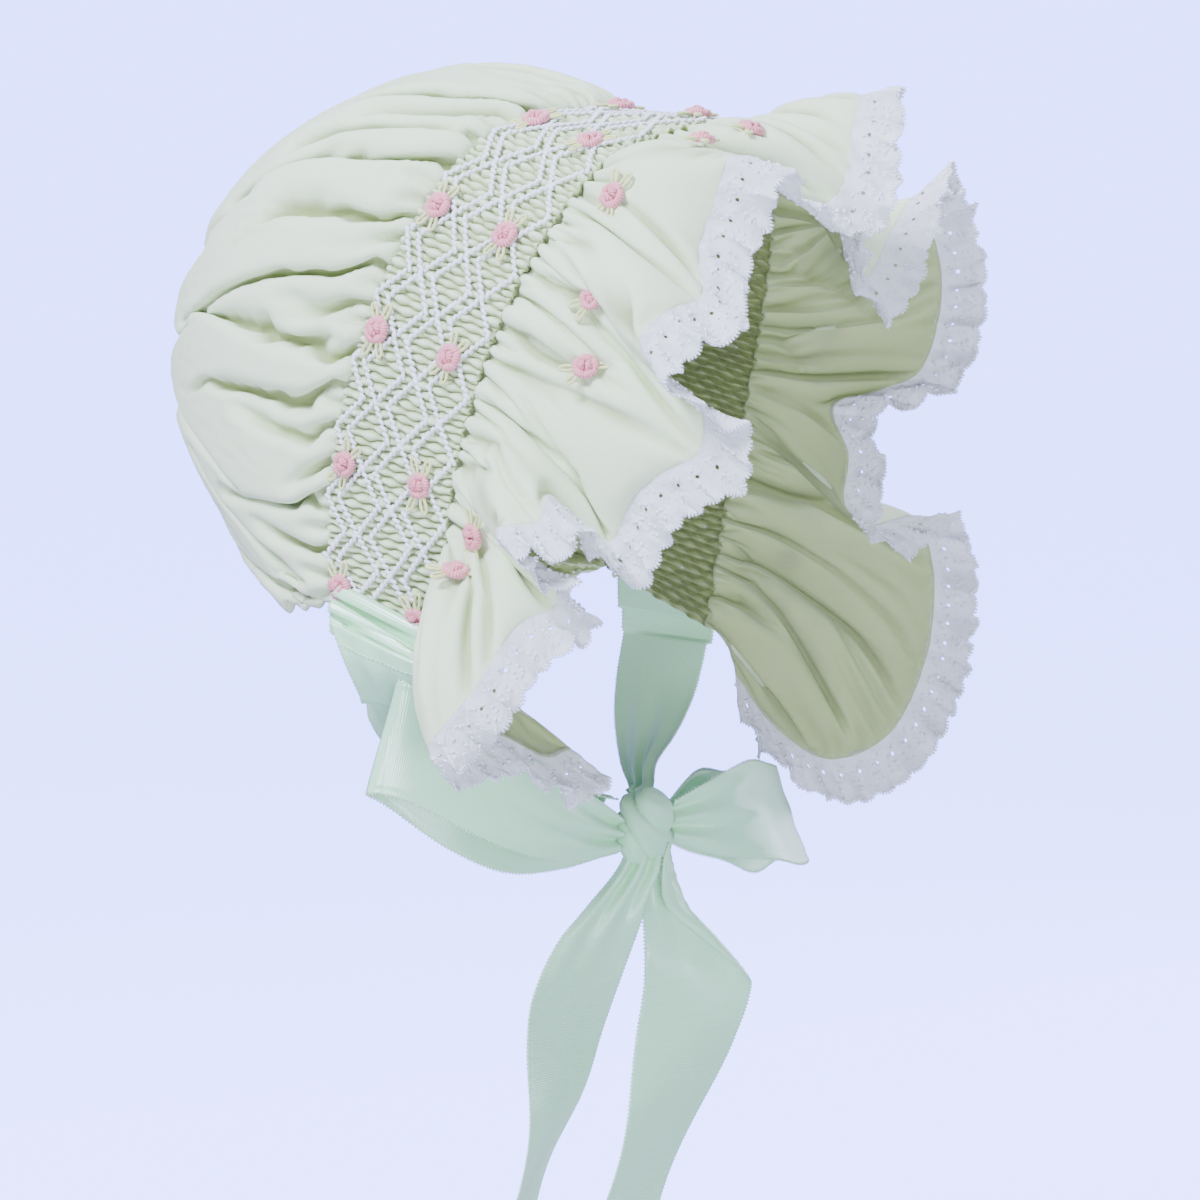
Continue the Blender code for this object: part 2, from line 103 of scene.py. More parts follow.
world = bpy.data.worlds.new("studio_air")
world.use_nodes = True
air = world.node_tree
set_inputs(air.nodes["Background"], {"Color": AIR_LIGHT})
seen_air = set_inputs(air.nodes.new("ShaderNodeBackground"), {"Color": AIR_SEEN})
air_choice = air.nodes.new("ShaderNodeMixShader")
rays = air.nodes.new("ShaderNodeLightPath")
seen_rays = air.nodes.new("ShaderNodeMath")
seen_rays.operation = "MULTIPLY_ADD"
seen_rays.inputs[1].default_value = GLOSSY_SHARE
air.links.new(rays.outputs["Is Glossy Ray"], seen_rays.inputs[0])
air.links.new(rays.outputs["Is Camera Ray"], seen_rays.inputs[2])
air.links.new(seen_rays.outputs[0], air_choice.inputs[0])
air.links.new(air.nodes["Background"].outputs[0], air_choice.inputs[1])
air.links.new(seen_air.outputs[0], air_choice.inputs[2])
air.links.new(air_choice.outputs[0], air.nodes["World Output"].inputs["Surface"])
bpy.context.scene.world = world

floor_mesh = bpy.data.meshes.new("floor")
floor_corners = [(x, y, FLOOR_HEIGHT) for x, y in ((-9, -9), (9, -9), (9, 9), (-9, 9))]
floor_mesh.from_pydata(floor_corners, [], [(0, 1, 2, 3)])
floor = placed(bpy.data.objects.new("floor", floor_mesh))
paper, paper_tree, paper_shader = principled("pale_paper", {
    "Base Color": (0.40, 0.42, 0.50), "Roughness": 1.0, "Specular IOR Level": 0.0})
paper_glow = set_inputs(paper_tree.nodes.new("ShaderNodeEmission"), {"Color": PAPER_GLOW})
seen_only = paper_tree.nodes.new("ShaderNodeMixShader")
both = paper_tree.nodes.new("ShaderNodeAddShader")
paper_rays = paper_tree.nodes.new("ShaderNodeLightPath")
paper_tree.links.new(paper_rays.outputs["Is Camera Ray"], seen_only.inputs[0])
paper_tree.links.new(paper_glow.outputs[0], seen_only.inputs[2])
paper_tree.links.new(paper_shader.outputs[0], both.inputs[0])
paper_tree.links.new(seen_only.outputs[0], both.inputs[1])
paper_tree.links.new(both.outputs[0], paper_tree.nodes["Material Output"].inputs["Surface"])
floor_mesh.materials.append(paper)

# Smocked band
# Cotton lawn drawn up into fine pleats from front to back, over the head from
# ear to ear. The pleats are caught by hand, so they open and close like a honeycomb.
MM = 0.001
BAND_WIDTH_TOP = 44.0
BAND_WIDTH_EAR = 40.0
PLEAT_PITCH = 2.2
PLEAT_HEIGHT = 2.3
PLEAT_CATCH = 0.17
CATCH_SPACING = 6.4
END_SLOPE = 0.32
BAND_LINE = [
    # side, back, height: from the top of the head to one ear
    (0.0, 0.0, 0.0),
    (22.0, 3.8, -2.0),
    (43.0, 13.0, -11.0),
    (60.0, 23.0, -33.0),
    (70.5, 34.0, -66.0),
    (72.5, 43.0, -104.0),
    (68.0, 47.0, -143.0),
]
FINE = np.linspace(0.0, 1.0, 601)
HEAD_MIDDLE = (0.0, 60.0, -80.0)


def between(a, b, c, d, t):
    """Catmull-Rom: on the way from b to c, with a before them and d after."""
    return 0.5 * (2 * b + (c - a) * t + (2 * a - 5 * b + 4 * c - d) * t**2 + (3 * b - a - 3 * c + d) * t**3)


def smooth_rows(rows, places):
    """Reads a table at places 0..1 along it, on a Catmull-Rom curve through its rows."""
    rows = np.asarray(rows, float)
    last = len(rows) - 1
    along = np.clip(np.asarray(places, float), 0.0, 1.0) * last
    first = np.minimum(np.floor(along).astype(int), last - 1)
    t = (along - first)[:, None]
    padded = np.vstack([2 * rows[0] - rows[1], rows, 2 * rows[-1] - rows[-2]])
    return between(*(padded[first + k] for k in range(4)), t)


def run_of(line):
    """Length along a line at each of its points."""
    return np.concatenate([[0.0], np.cumsum(np.linalg.norm(np.diff(line, axis=0), axis=1))])


def along_line(where, run, field):
    """Reads three columns at lengths along a line."""
    return np.stack([np.interp(where, run, field[:, k]) for k in range(3)], axis=1)


def even_places(points):
    """Share of the length at each point of a line."""
    run = run_of(points)
    return run / run[-1]


def unit(v):
    return v / np.maximum(np.linalg.norm(v, axis=-1, keepdims=True), 1e-12)


BAND_ROWS = np.vstack([np.asarray(BAND_LINE)[::-1] * (-1, 1, 1), np.asarray(BAND_LINE)[1:]])
BAND_SHARES = even_places(smooth_rows(BAND_ROWS, FINE))
BAND_LENGTH = float(np.linalg.norm(np.diff(smooth_rows(BAND_ROWS, FINE), axis=0), axis=1).sum())


def band_line(share):
    return smooth_rows(BAND_ROWS, np.interp(share, BAND_SHARES, FINE))


def band_axes(share):
    """Along the band, across it towards the face, and outwards."""
    share = np.asarray(share, float)
    along = unit(band_line(np.clip(share + 0.001, 0, 1)) - band_line(np.clip(share - 0.001, 0, 1)))
    ahead = np.array([0.0, -1.0, -0.1])
    across = unit(ahead - (along @ ahead)[:, None] * along)
    return along, across, np.cross(across, along)


def band_width(share):
    return BAND_WIDTH_TOP + (BAND_WIDTH_EAR - BAND_WIDTH_TOP) * (2 * np.asarray(share) - 1) ** 2


def band_point(share, across_mm):
    """A place on the band. Its ends at the ears are cut on a slope, lower towards the face."""
    along, across, _ = band_axes(share)
    half = 2 * np.asarray(share) - 1
    slope = END_SLOPE * np.sign(half) * np.clip((np.abs(half) - 0.72) / 0.28, 0, 1) ** 2
    across_mm = np.asarray(across_mm)
    return band_line(share) + across * across_mm[..., None] + along * (slope * across_mm)[..., None]


def band_edge(share, front, gap=0.0):
    side = 1.0 if front else -1.0
    return band_point(share, side * (band_width(share) / 2 + gap))


def surface_normals(points, closed=False):
    """Unit normals of a grid of points, rows along u and columns along v."""
    if closed:
        du = np.roll(points, -1, axis=0) - np.roll(points, 1, axis=0)
    else:
        du = np.gradient(points, axis=0)
    return unit(np.cross(du, np.gradient(points, axis=1)))


def grid_mesh(name, points, closed=False):
    """Four-sided faces over a grid of points in mm, and the column and row that each starts at."""
    columns, rows = points.shape[:2]
    a, b = np.meshgrid(np.arange(columns if closed else columns - 1), np.arange(rows - 1), indexing="ij")
    nxt = (a + 1) % columns
    quads = np.stack([a * rows + b, nxt * rows + b, nxt * rows + b + 1, a * rows + b + 1], axis=-1)
    mesh = bpy.data.meshes.new(name)
    mesh.from_pydata((points.reshape(-1, 3) * MM).tolist(), [], quads.reshape(-1, 4).tolist())
    mesh.shade_smooth()
    return mesh, a, b


def cloth(name, points, wall, material, closed=False, crease=None, inside=None, rolled=None):
    """A sheet over a grid of points in mm, with a UV map in metres, its crease depth and a wall.
    crease: for the cotton the strength of its painted shade in valleys, for the satin its selvedge relief.
    inside: the inner side's material; the cotton's is a darker copy that paints shade on the inner side.
    rolled: where a fold turns the sheet's inner side to the light, which then looks like the outer, without
    that painted shade."""
    mesh, a, b = grid_mesh(name, points, closed)
    middle = points[:, points.shape[1] // 2]
    u = run_of(np.vstack([middle, middle[:1]]))
    v = np.cumsum(np.concatenate([[0.0], np.linalg.norm(np.diff(points, axis=1), axis=2).mean(0)]))
    corners = ((a, b), (a + 1, b), (a + 1, b + 1), (a, b + 1))
    corner = np.stack([np.stack([u[i], v[j]], -1) for i, j in corners], axis=-2)
    mesh.uv_layers.new(name="cloth").data.foreach_set("uv", (corner * MM).astype(np.float32).ravel())
    if crease is not None:
        creased = mesh.attributes.new("crease", "FLOAT", "POINT")
        creased.data.foreach_set("value", crease.astype(np.float32).ravel())
    faces_out = (surface_normals(points, closed) * (points - HEAD_MIDDLE)).sum() > 0
    for side in (material, inside) if faces_out else (inside, material):
        if side is not None:
            mesh.materials.append(side)
    if rolled is not None:
        mesh.materials.append(material)
        mesh.materials.append(material)
        mesh.polygons.foreach_set("material_index", np.where(rolled[a, b], 2, 0).astype(np.int32).ravel())
    piece = placed(bpy.data.objects.new(name, mesh))
    solid = piece.modifiers.new("wall", "SOLIDIFY")
    solid.thickness = wall * MM
    solid.offset = 0.0
    solid.material_offset = 1 if inside is not None else 0
    return piece


def group(name, inputs, outputs):
    """An empty shader node group with named sockets: (name, kind, default)."""
    tree = bpy.data.node_groups.new(name, "ShaderNodeTree")
    for label, kind, value in inputs:
        socket = tree.interface.new_socket(label, in_out="INPUT", socket_type=kind)
        if value is not None:
            socket.default_value = value
    for label, kind in outputs:
        tree.interface.new_socket(label, in_out="OUTPUT", socket_type=kind)
    return tree, tree.nodes.new("NodeGroupInput"), tree.nodes.new("NodeGroupOutput")


def sum_node(tree, operation, first, second=None):
    """The result of a Math node. Its terms are numbers or sockets."""
    node = tree.nodes.new("ShaderNodeMath")
    node.operation = operation
    for socket, value in zip(node.inputs, (first, second)):
        if isinstance(value, (int, float)):
            socket.default_value = value
        elif value is not None:
            tree.links.new(value, socket)
    return node.outputs[0]


def noise(tree, place, scale, detail=2.0):
    node = set_inputs(tree.nodes.new("ShaderNodeTexNoise"), {"Scale": scale, "Detail": detail})
    tree.links.new(place, node.inputs["Vector"])
    return node.outputs["Fac"]


def two_tones(tree, factor, deep, light):
    """A colour between two tones."""
    mix = tree.nodes.new("ShaderNodeMix")
    mix.data_type = "RGBA"
    set_inputs(mix, {"A": deep, "B": light})
    tree.links.new(factor, mix.inputs["Factor"])
    return mix.outputs["Result"]


def raised(tree, shader, height, strength, distance):
    """Bump on the shader, by a height socket."""
    bump = set_inputs(tree.nodes.new("ShaderNodeBump"), {"Strength": strength, "Distance": distance})
    tree.links.new(height, bump.inputs["Height"])
    tree.links.new(bump.outputs["Normal"], shader.inputs["Normal"])


# Plain weave: threads over and under, with slubs, and a soft tint that wanders over the cloth
WEAVE, weave_in, weave_out = group(
    "plain_weave",
    [("Cloth", "NodeSocketVector", None), ("Place", "NodeSocketVector", None),
     ("Threads", "NodeSocketFloat", 2600.0), ("Slub", "NodeSocketFloat", 0.35)],
    [("Height", "NodeSocketFloat"), ("Tint", "NodeSocketFloat")])
split = WEAVE.nodes.new("ShaderNodeSeparateXYZ")
WEAVE.links.new(weave_in.outputs["Cloth"], split.inputs[0])
warp, weft = (
    sum_node(WEAVE, "SINE", sum_node(WEAVE, "MULTIPLY", split.outputs[k], weave_in.outputs["Threads"]))
    for k in (0, 1))
over_under = sum_node(WEAVE, "MULTIPLY", sum_node(WEAVE, "MULTIPLY", warp, weft), 0.3)
slub = noise(WEAVE, weave_in.outputs["Place"], 900.0, 3.0)
slubs = sum_node(WEAVE, "MULTIPLY", slub, weave_in.outputs["Slub"])
WEAVE.links.new(sum_node(WEAVE, "ADD", over_under, slubs), weave_out.inputs["Height"])
WEAVE.links.new(noise(WEAVE, weave_in.outputs["Place"], 28.0), weave_out.inputs["Tint"])


def weave_node(tree, threads):
    """The weave over the cloth's UV map and the piece's own coordinates, and those coordinates."""
    coords = tree.nodes.new("ShaderNodeTexCoord")
    weave = tree.nodes.new("ShaderNodeGroup")
    weave.node_tree = WEAVE
    set_inputs(weave, {"Threads": threads})
    tree.links.new(coords.outputs["UV"], weave.inputs["Cloth"])
    tree.links.new(coords.outputs["Object"], weave.inputs["Place"])
    return weave, coords


def woven(name, light, deep, creased, roughness, threads, depth, sheen, soft):
    """A woven cloth: two tints that wander, darker down in its creases as painted shade, with a raised weave.
    """
    material, tree, shader = principled(name, {
        "Roughness": roughness, "Sheen Weight": sheen, "Sheen Roughness": 0.5, "Specular IOR Level": 0.25,
        "Subsurface Weight": soft, "Subsurface Radius": (1.0, 1.0, 0.7), "Subsurface Scale": 0.0025})
    weave = weave_node(tree, threads)[0]
    # Painted shade: the colour turns towards the crease colour as far as the crease attribute says the point
    # lies down in a valley.
    shade = tree.nodes.new("ShaderNodeMix")
    shade.data_type = "RGBA"
    set_inputs(shade, {"B": creased})
    depth_of = tree.nodes.new("ShaderNodeAttribute")
    depth_of.attribute_name = "crease"
    tree.links.new(depth_of.outputs["Fac"], shade.inputs["Factor"])
    tree.links.new(two_tones(tree, weave.outputs["Tint"], deep, light), shade.inputs["A"])
    tree.links.new(shade.outputs["Result"], shader.inputs["Base Color"])
    raised(tree, shader, weave.outputs["Height"], depth, 0.0004)
    return material


# Third colour of each: the painted shade down in creases. The inside is a darker, yellower copy of the
# cotton, painted shade for the bonnet's inner side.
COTTON = woven("mint_cotton_lawn", (0.76, 0.88, 0.60), (0.71, 0.84, 0.55), (0.30, 0.35, 0.13),
               roughness=0.85, threads=9000.0, depth=0.35, sheen=0.25, soft=0.18)
SHADED_COTTON_INSIDE = woven("mint_cotton_inside_painted_shade", (0.46, 0.53, 0.28), (0.40, 0.47, 0.24), (0.18, 0.21, 0.07),
                      roughness=0.85, threads=9000.0, depth=0.35, sheen=0.2, soft=0.30)

pleat_chance = np.random.RandomState(8).uniform(-1, 1, 400)


def pleats(run, across):
    """Height 0..1 of the hand-drawn pleats at a run along the band and a place across it, in mm."""
    count = run / PLEAT_PITCH
    first = np.floor(count)

    def edge(n):
        chance = pleat_chance[n.astype(int) % 400]
        wave = np.where(n % 2 == 0, 1.0, -1.0) * np.cos(2 * math.pi * across / CATCH_SPACING)
        return n + PLEAT_CATCH * wave + 0.22 * chance * np.cos(across / 2.3 + 9 * chance) + 0.12 * chance

    first = np.where(count < edge(first), first - 1, first)
    first = np.where(count >= edge(first + 1), first + 1, first)
    low = edge(first)
    high = edge(first + 1)
    inside = np.clip((count - low) / np.maximum(high - low, 1e-6), 0, 1)
    return np.sin(math.pi * inside) ** 1.15 * np.clip(0.5 + 0.5 * (high - low), 0.35, 1.3)


band_columns = int(BAND_LENGTH / PLEAT_PITCH * 5)
band_share = np.linspace(0.0, 1.0, band_columns + 1)
band_across = np.linspace(-0.5, 0.5, 37)
band_grid = np.stack([band_point(band_share, w * band_width(band_share)) for w in band_across], axis=1)
band_mm = band_across[None, :] * band_width(band_share)[:, None]
band_height = pleats(band_share[:, None] * BAND_LENGTH, band_mm)
band_grid = band_grid + band_axes(band_share)[2][:, None] * (PLEAT_HEIGHT * (band_height - 0.45))[..., None]
# Painted shade between the pleats: the crease attribute darkens the cotton where the pleats lie low.
smocked_band = cloth("smocked_band_cloth", band_grid, 0.6, COTTON,
                     crease=np.clip(1.35 - 1.15 * band_height, 0, 1), inside=SHADED_COTTON_INSIDE)
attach(smocked_band, "root")
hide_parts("smocked_band")

# Smocking threads
# White two-ply cotton, worked over the pleats in seven zigzag rows of short
# slanting stitches, one to a pleat, so that the rows cross as a trellis.
ROSE_FIRST = 0.02
ROSE_STEP = 0.096
WAVE_LENGTH = ROSE_STEP * BAND_LENGTH / 2
WAVE_HALF = 3.5
THREAD_ROWS = [
    # middle across the band in mm, phase of the wave in turns
    (-17.3, 0.0),
    (-13.0, 0.0),
    (-6.0, 0.5),
    (-1.5, 0.5),
    (5.5, 0.0),
    (10.0, 0.0),
    (17.0, 0.5),
]
STITCH_STEP = 1.95


def tube_faces(base, rings, sides, closed=False):
    """Faces between rings of points, and back to the first ring if the tube is closed."""
    faces = []
    for k in range(rings if closed else rings - 1):
        low = base + k * sides
        high = base + (k + 1) % rings * sides
        faces += [(low + s, low + (s + 1) % sides, high + (s + 1) % sides, high + s) for s in range(sides)]
    return faces


def small_piece(name, verts, faces):
    """A piece to be set many times, from points in mm."""
    mesh = bpy.data.meshes.new(name)
    mesh.from_pydata((np.asarray(verts) * MM).tolist(), [], faces)
    mesh.shade_smooth()
    return bpy.data.objects.new(name, mesh)


def stitch_bead(name, length, radius, sides, rings, ply):
    """One short stitch: a round-ended strand with the twist of its plies."""
    verts = [(-length / 2, 0.0, 0.0)]
    for k in range(1, rings):
        x = -math.cos(math.pi * k / rings)
        swell = math.sin(math.pi * k / rings) ** 0.6
        for s in range(sides):
            angle = 2 * math.pi * s / sides + 0.9 * x
            r = radius * swell * (1 + ply * math.cos(3 * angle))
            verts.append((x * length / 2, r * math.cos(angle), r * math.sin(angle)))
    verts.append((length / 2, 0.0, 0.0))
    last = len(verts) - 1
    base = 1 + (rings - 2) * sides
    faces = [(0, 1 + (s + 1) % sides, 1 + s) for s in range(sides)]
    faces += tube_faces(1, rings - 1, sides)
    faces += [(last, base + s, base + (s + 1) % sides) for s in range(sides)]
    return small_piece(name, verts, faces)


def repeat_tree(name):
    """Sets one piece on every point, turned to the point's own along and outward, a little uneven."""
    tree = bpy.data.node_groups.new(name, "GeometryNodeTree")
    for label, kind in (("Points", "Geometry"), ("Piece", "Object"), ("Slant", "Float"),
                        ("Uneven Turn", "Float"), ("Uneven Size", "Float"), ("Finish", "Material"),
                        ("Seed", "Int")):
        tree.interface.new_socket(label, in_out="INPUT", socket_type="NodeSocket" + kind)
    tree.interface.new_socket("Geometry", in_out="OUTPUT", socket_type="NodeSocketGeometry")
    make = tree.nodes.new
    link = tree.links.new
    source = make("NodeGroupInput").outputs
    piece = make("GeometryNodeObjectInfo")
    link(source["Piece"], piece.inputs["Object"])
    rotation = None
    for label, axis, pivot in (("along", "X", "AUTO"), ("outward", "Z", "X")):
        towards = make("GeometryNodeInputNamedAttribute")
        towards.data_type = "FLOAT_VECTOR"
        set_inputs(towards, {"Name": label})
        align = make("FunctionNodeAlignRotationToVector")
        align.axis = axis
        align.pivot_axis = pivot
        link(towards.outputs["Attribute"], align.inputs["Vector"])
        if rotation is not None:
            link(rotation, align.inputs["Rotation"])
        rotation = align.outputs["Rotation"]
    turn, size = make("FunctionNodeRandomValue"), make("FunctionNodeRandomValue")
    for dice in (turn, size):
        dice.data_type = "FLOAT"
        link(source["Seed"], dice.inputs["Seed"])
    link(sum_node(tree, "SUBTRACT", source["Slant"], source["Uneven Turn"]), turn.inputs[2])
    link(sum_node(tree, "ADD", source["Slant"], source["Uneven Turn"]), turn.inputs[3])
    link(sum_node(tree, "SUBTRACT", 1.0, source["Uneven Size"]), size.inputs[2])
    about = make("ShaderNodeCombineXYZ")
    link(turn.outputs[1], about.inputs["Z"])
    turned = make("FunctionNodeRotateRotation")
    turned.rotation_space = "LOCAL"
    link(rotation, turned.inputs["Rotation"])
    link(about.outputs[0], turned.inputs["Rotate By"])
    place = make("GeometryNodeInstanceOnPoints")
    link(source["Points"], place.inputs["Points"])
    link(piece.outputs["Geometry"], place.inputs["Instance"])
    link(turned.outputs["Rotation"], place.inputs["Rotation"])
    link(size.outputs[1], place.inputs["Scale"])
    whole = make("GeometryNodeRealizeInstances")
    finish = make("GeometryNodeSetMaterial")
    link(place.outputs["Instances"], whole.inputs["Geometry"])
    link(whole.outputs["Geometry"], finish.inputs["Geometry"])
    link(source["Finish"], finish.inputs["Material"])
    link(finish.outputs["Geometry"], make("NodeGroupOutput").inputs[0])
    return tree


REPEAT = repeat_tree("set_on_points")


def repeated(name, points, along, outward, piece, material, slant=0.0, turn=0.0, size=0.0, seed=1):
    """The piece on every point, as one plain mesh. Points are in mm."""
    mesh = bpy.data.meshes.new(name)
    mesh.from_pydata((np.asarray(points) * MM).tolist(), [], [])
    for label, vectors in (("along", along), ("outward", outward)):
        attribute = mesh.attributes.new(label, "FLOAT_VECTOR", "POINT")
        attribute.data.foreach_set("vector", np.asarray(vectors, np.float32).ravel())
    holder = placed(bpy.data.objects.new(name + "_points", mesh))
    modifier = holder.modifiers.new("repeat", "NODES")
    modifier.node_group = REPEAT
    values = {"Piece": piece, "Slant": slant, "Uneven Turn": turn, "Uneven Size": size, "Finish": material,
              "Seed": seed}
    for item in REPEAT.interface.items_tree:
        if item.in_out == "INPUT" and item.name in values:
            modifier[item.identifier] = values[item.name]
    holder.update_tag()
    bpy.context.view_layer.update()
    shape = holder.evaluated_get(bpy.context.evaluated_depsgraph_get())
    result = bpy.data.objects.new(name, bpy.data.meshes.new_from_object(shape))
    bpy.data.objects.remove(holder, do_unlink=True)
    for label in ("along", "outward"):
        left = result.data.attributes.get(label)
        if left is not None:
            result.data.attributes.remove(left)
    result.data.materials.clear()
    result.data.materials.append(material)
    return placed(result)


def thread(name, light, deep, scale):
    """Spun thread: fine strands along each stitch, slightly uneven in tone."""
    material, tree, shader = principled(name, {
        "Roughness": 0.7, "Sheen Weight": 0.3, "Specular IOR Level": 0.3})
    strands = noise(tree, tree.nodes.new("ShaderNodeTexCoord").outputs["Object"], scale, 4.0)
    tree.links.new(two_tones(tree, strands, deep, light), shader.inputs["Base Color"])
    raised(tree, shader, strands, 0.5, 0.0003)
    return material


WHITE_THREAD = thread("white_two_ply", (0.93, 0.93, 1.0), (0.82, 0.83, 0.94), 1500.0)

stitch_points = []
stitch_along = []
stitch_out = []
for middle, phase in THREAD_ROWS:
    share = np.linspace(0.0, 1.0, 4001)
    turn = (share - ROSE_FIRST) * BAND_LENGTH / WAVE_LENGTH + phase
    zigzag = 2 * np.abs(2 * (turn - np.floor(turn + 0.5))) - 1
    wave = -WAVE_HALF * zigzag
    line = band_point(share, middle + wave)
    run = run_of(line)
    where = np.arange(STITCH_STEP / 2, run[-1], STITCH_STEP)
    out = band_axes(np.interp(where, run, share))[2]
    pos = along_line(where, run, line)
    stitch_points.append(pos + out * (PLEAT_HEIGHT * 0.5 + 0.8))
    stitch_along.append(unit(along_line(where + 0.4, run, line) - along_line(where - 0.4, run, line)))
    stitch_out.append(out)
stitch = stitch_bead("stitch", 2.8, 0.76, 6, 5, 0.18)
smocking = repeated("smocking_threads", *map(np.vstack, (stitch_points, stitch_along, stitch_out)), stitch,
                    WHITE_THREAD, slant=0.55, turn=0.12, size=0.14, seed=7)
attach(smocking, "root")

# Crown
# The same cotton, gathered to the band in front and drawn up on a cord into a
# small ring at the back, so that it stands in soft puffs between sharp valleys.
CROWN_COLUMNS = 420
CROWN_STEPS = 44
BAND_SHARE = 0.76
RING_BACK = 158.0
RING_HEIGHT = -67.0
RING_RADIUS = 13.0
RING_HALF_TURN = math.radians(135.0)
NAPE_LINE = [
    (68.0, 68.0, -143.0),
    (62.0, 85.0, -138.0),
    (47.0, 107.0, -132.0),
    (25.0, 123.0, -126.0),
    (0.0, 129.0, -122.0),
]
CROWN_RIBS = [
    # place, lift, run, swell, reach
    (0.0, 36.0, 42.0, 62.0, 148.0),
    (0.5, 18.0, 44.0, 55.0, 150.0),
    (0.8, 8.0, 44.0, 48.0, 152.0),
    (1.0, -4.0, 32.0, 45.0, 152.0),
    (1.5, -6.0, 14.0, 32.0, 152.0),
    (2.0, -2.0, 10.0, 28.0, 152.0),
]
RING_RUCHE = [(13.4, 158.0), (15.2, 163.5), (12.0, 168.0), (3.4, 165.0)]
# For the folds: steps, puff, stiffness, and how far in and out of the surface they may go in mm
CROWN_SETTLE = (200, 0.013, 0.10, -7.5, 5.2)
CROWN_FINE = (630, 72)
ROLLED_BELOW = 0.35
CROWN_GATHERS = 75
RING_GATHERS = 30
# Valleys of the crown's near side. place: round its open edge from the near ear; from, to: how far
# back it runs, 0 at the band and 1 at the ring; depth and width in mm; steep: share of the width
# on the lower side
CROWN_VALLEYS = [
    # start place, middle place, end place, from, to, depth, width, steep
    (0.287, 0.290, 0.281, 0.0, 0.42, 3.4, 15.0, 0.35),
    (0.282, 0.274, 0.268, 0.0, 0.55, 3.0, 13.0, 0.5),
    (0.250, 0.252, 0.246, 0.0, 0.62, 3.6, 16.0, 0.35),
    (0.218, 0.221, 0.227, 0.0, 0.46, 3.8, 14.0, 0.3),
    (0.224, 0.227, 0.224, 0.36, 1.0, 3.4, 14.0, 0.5),
    (0.188, 0.184, 0.174, 0.0, 0.56, 4.2, 16.0, 0.35),
    (0.166, 0.169, 0.183, 0.0, 0.30, 2.8, 10.0, 0.5),
    (0.143, 0.156, 0.166, 0.0, 0.66, 4.4, 16.0, 0.3),
    (0.117, 0.118, 0.122, 0.0, 0.52, 4.2, 16.0, 0.35),
    (0.096, 0.104, 0.112, 0.0, 0.40, 3.4, 12.0, 0.4),
    (0.131, 0.128, 0.121, 0.0, 0.12, 2.0, 6.0, 0.5),
    (0.062, 0.060, 0.046, 0.0, 0.45, 4.0, 15.0, 0.3),
    (0.032, 0.038, 0.049, 0.0, 0.30, 3.2, 11.0, 0.4),
    (0.006, 0.021, 0.043, 0.03, 0.40, 3.0, 13.0, 0.4),
    (0.075, 0.085, 0.092, 0.25, 1.0, 3.6, 16.0, 0.5),
    (0.146, 0.142, 0.146, 0.50, 1.0, 3.2, 14.0, 0.5),
    (0.200, 0.204, 0.198, 0.45, 1.0, 3.4, 15.0, 0.5),
    (0.265, 0.262, 0.256, 0.50, 1.0, 3.2, 14.0, 0.5),
]


def crown_edge(place):
    """Its open edge: along the band from the near ear to the far ear, then round the nape."""
    place = np.asarray(place, float)
    edge = np.zeros((len(place), 3))
    on_band = place <= BAND_SHARE
    edge[on_band] = band_edge(place[on_band] / BAND_SHARE, False, -0.4)
    nape = np.vstack([NAPE_LINE, np.asarray(NAPE_LINE)[-2::-1] * (-1, 1, 1)])
    nape[0] = band_edge(np.array([1.0]), False, -0.4)[0]
    nape[-1] = band_edge(np.array([0.0]), False, -0.4)[0]
    edge[~on_band] = smooth_rows(nape, (place[~on_band] - BAND_SHARE) / (1 - BAND_SHARE))
    return edge


def bezier(t):
    """How much each of a cubic curve's four points counts at t."""
    return (1 - t) ** 3, 3 * t * (1 - t) ** 2, 3 * t * t * (1 - t), t**3


def crown_points(place, rib_steps, ruche_steps):
    """Ribs from the open edge, swelling and closing on the ring, then the ruche inside it."""
    edge = crown_edge(place)
    rise = edge[:, 2] - RING_HEIGHT
    radius = np.hypot(edge[:, 0], rise)
    turn = np.unwrap(np.arctan2(-edge[:, 0], rise))
    turn -= 2 * math.pi * round((turn[0] - RING_HALF_TURN) / (2 * math.pi))
    half = place / BAND_SHARE
    nape = (place - BAND_SHARE) / (1 - BAND_SHARE)
    ring_turn = np.where(place <= BAND_SHARE, RING_HALF_TURN * (1 - 2 * half),
                         -RING_HALF_TURN - 2 * (math.pi - RING_HALF_TURN) * nape)
    where = np.where(place <= BAND_SHARE, np.abs(2 * half - 1), 2 - np.abs(2 * nape - 1))
    table = np.asarray(CROWN_RIBS)
    lift, run, swell, reach = (np.interp(where, table[:, 0], table[:, k]) for k in range(1, 5))
    t = np.asarray(rib_steps)[None, :]
    b0, b1, b2, b3 = bezier(t)
    rad = b0 * radius[:, None] + b1 * (radius + lift)[:, None] + b2 * swell[:, None] + b3 * RING_RADIUS
    back = b0 * edge[:, 1:2] + b1 * (edge[:, 1] + run)[:, None] + b2 * reach[:, None] + b3 * RING_BACK
    blend = t * t * (3 - 2 * t)
    angle = turn[:, None] * (1 - blend) + ring_turn[:, None] * blend
    ruche = smooth_rows(RING_RUCHE, np.asarray(ruche_steps))
    rad = np.hstack([rad, np.tile(ruche[:, 0], (len(place), 1))])
    back = np.hstack([back, np.tile(ruche[:, 1], (len(place), 1))])
    angle = np.hstack([angle, np.tile(ring_turn[:, None], (1, len(ruche)))])
    return np.stack([-rad * np.sin(angle), back, RING_HEIGHT + rad * np.cos(angle)], axis=-1)


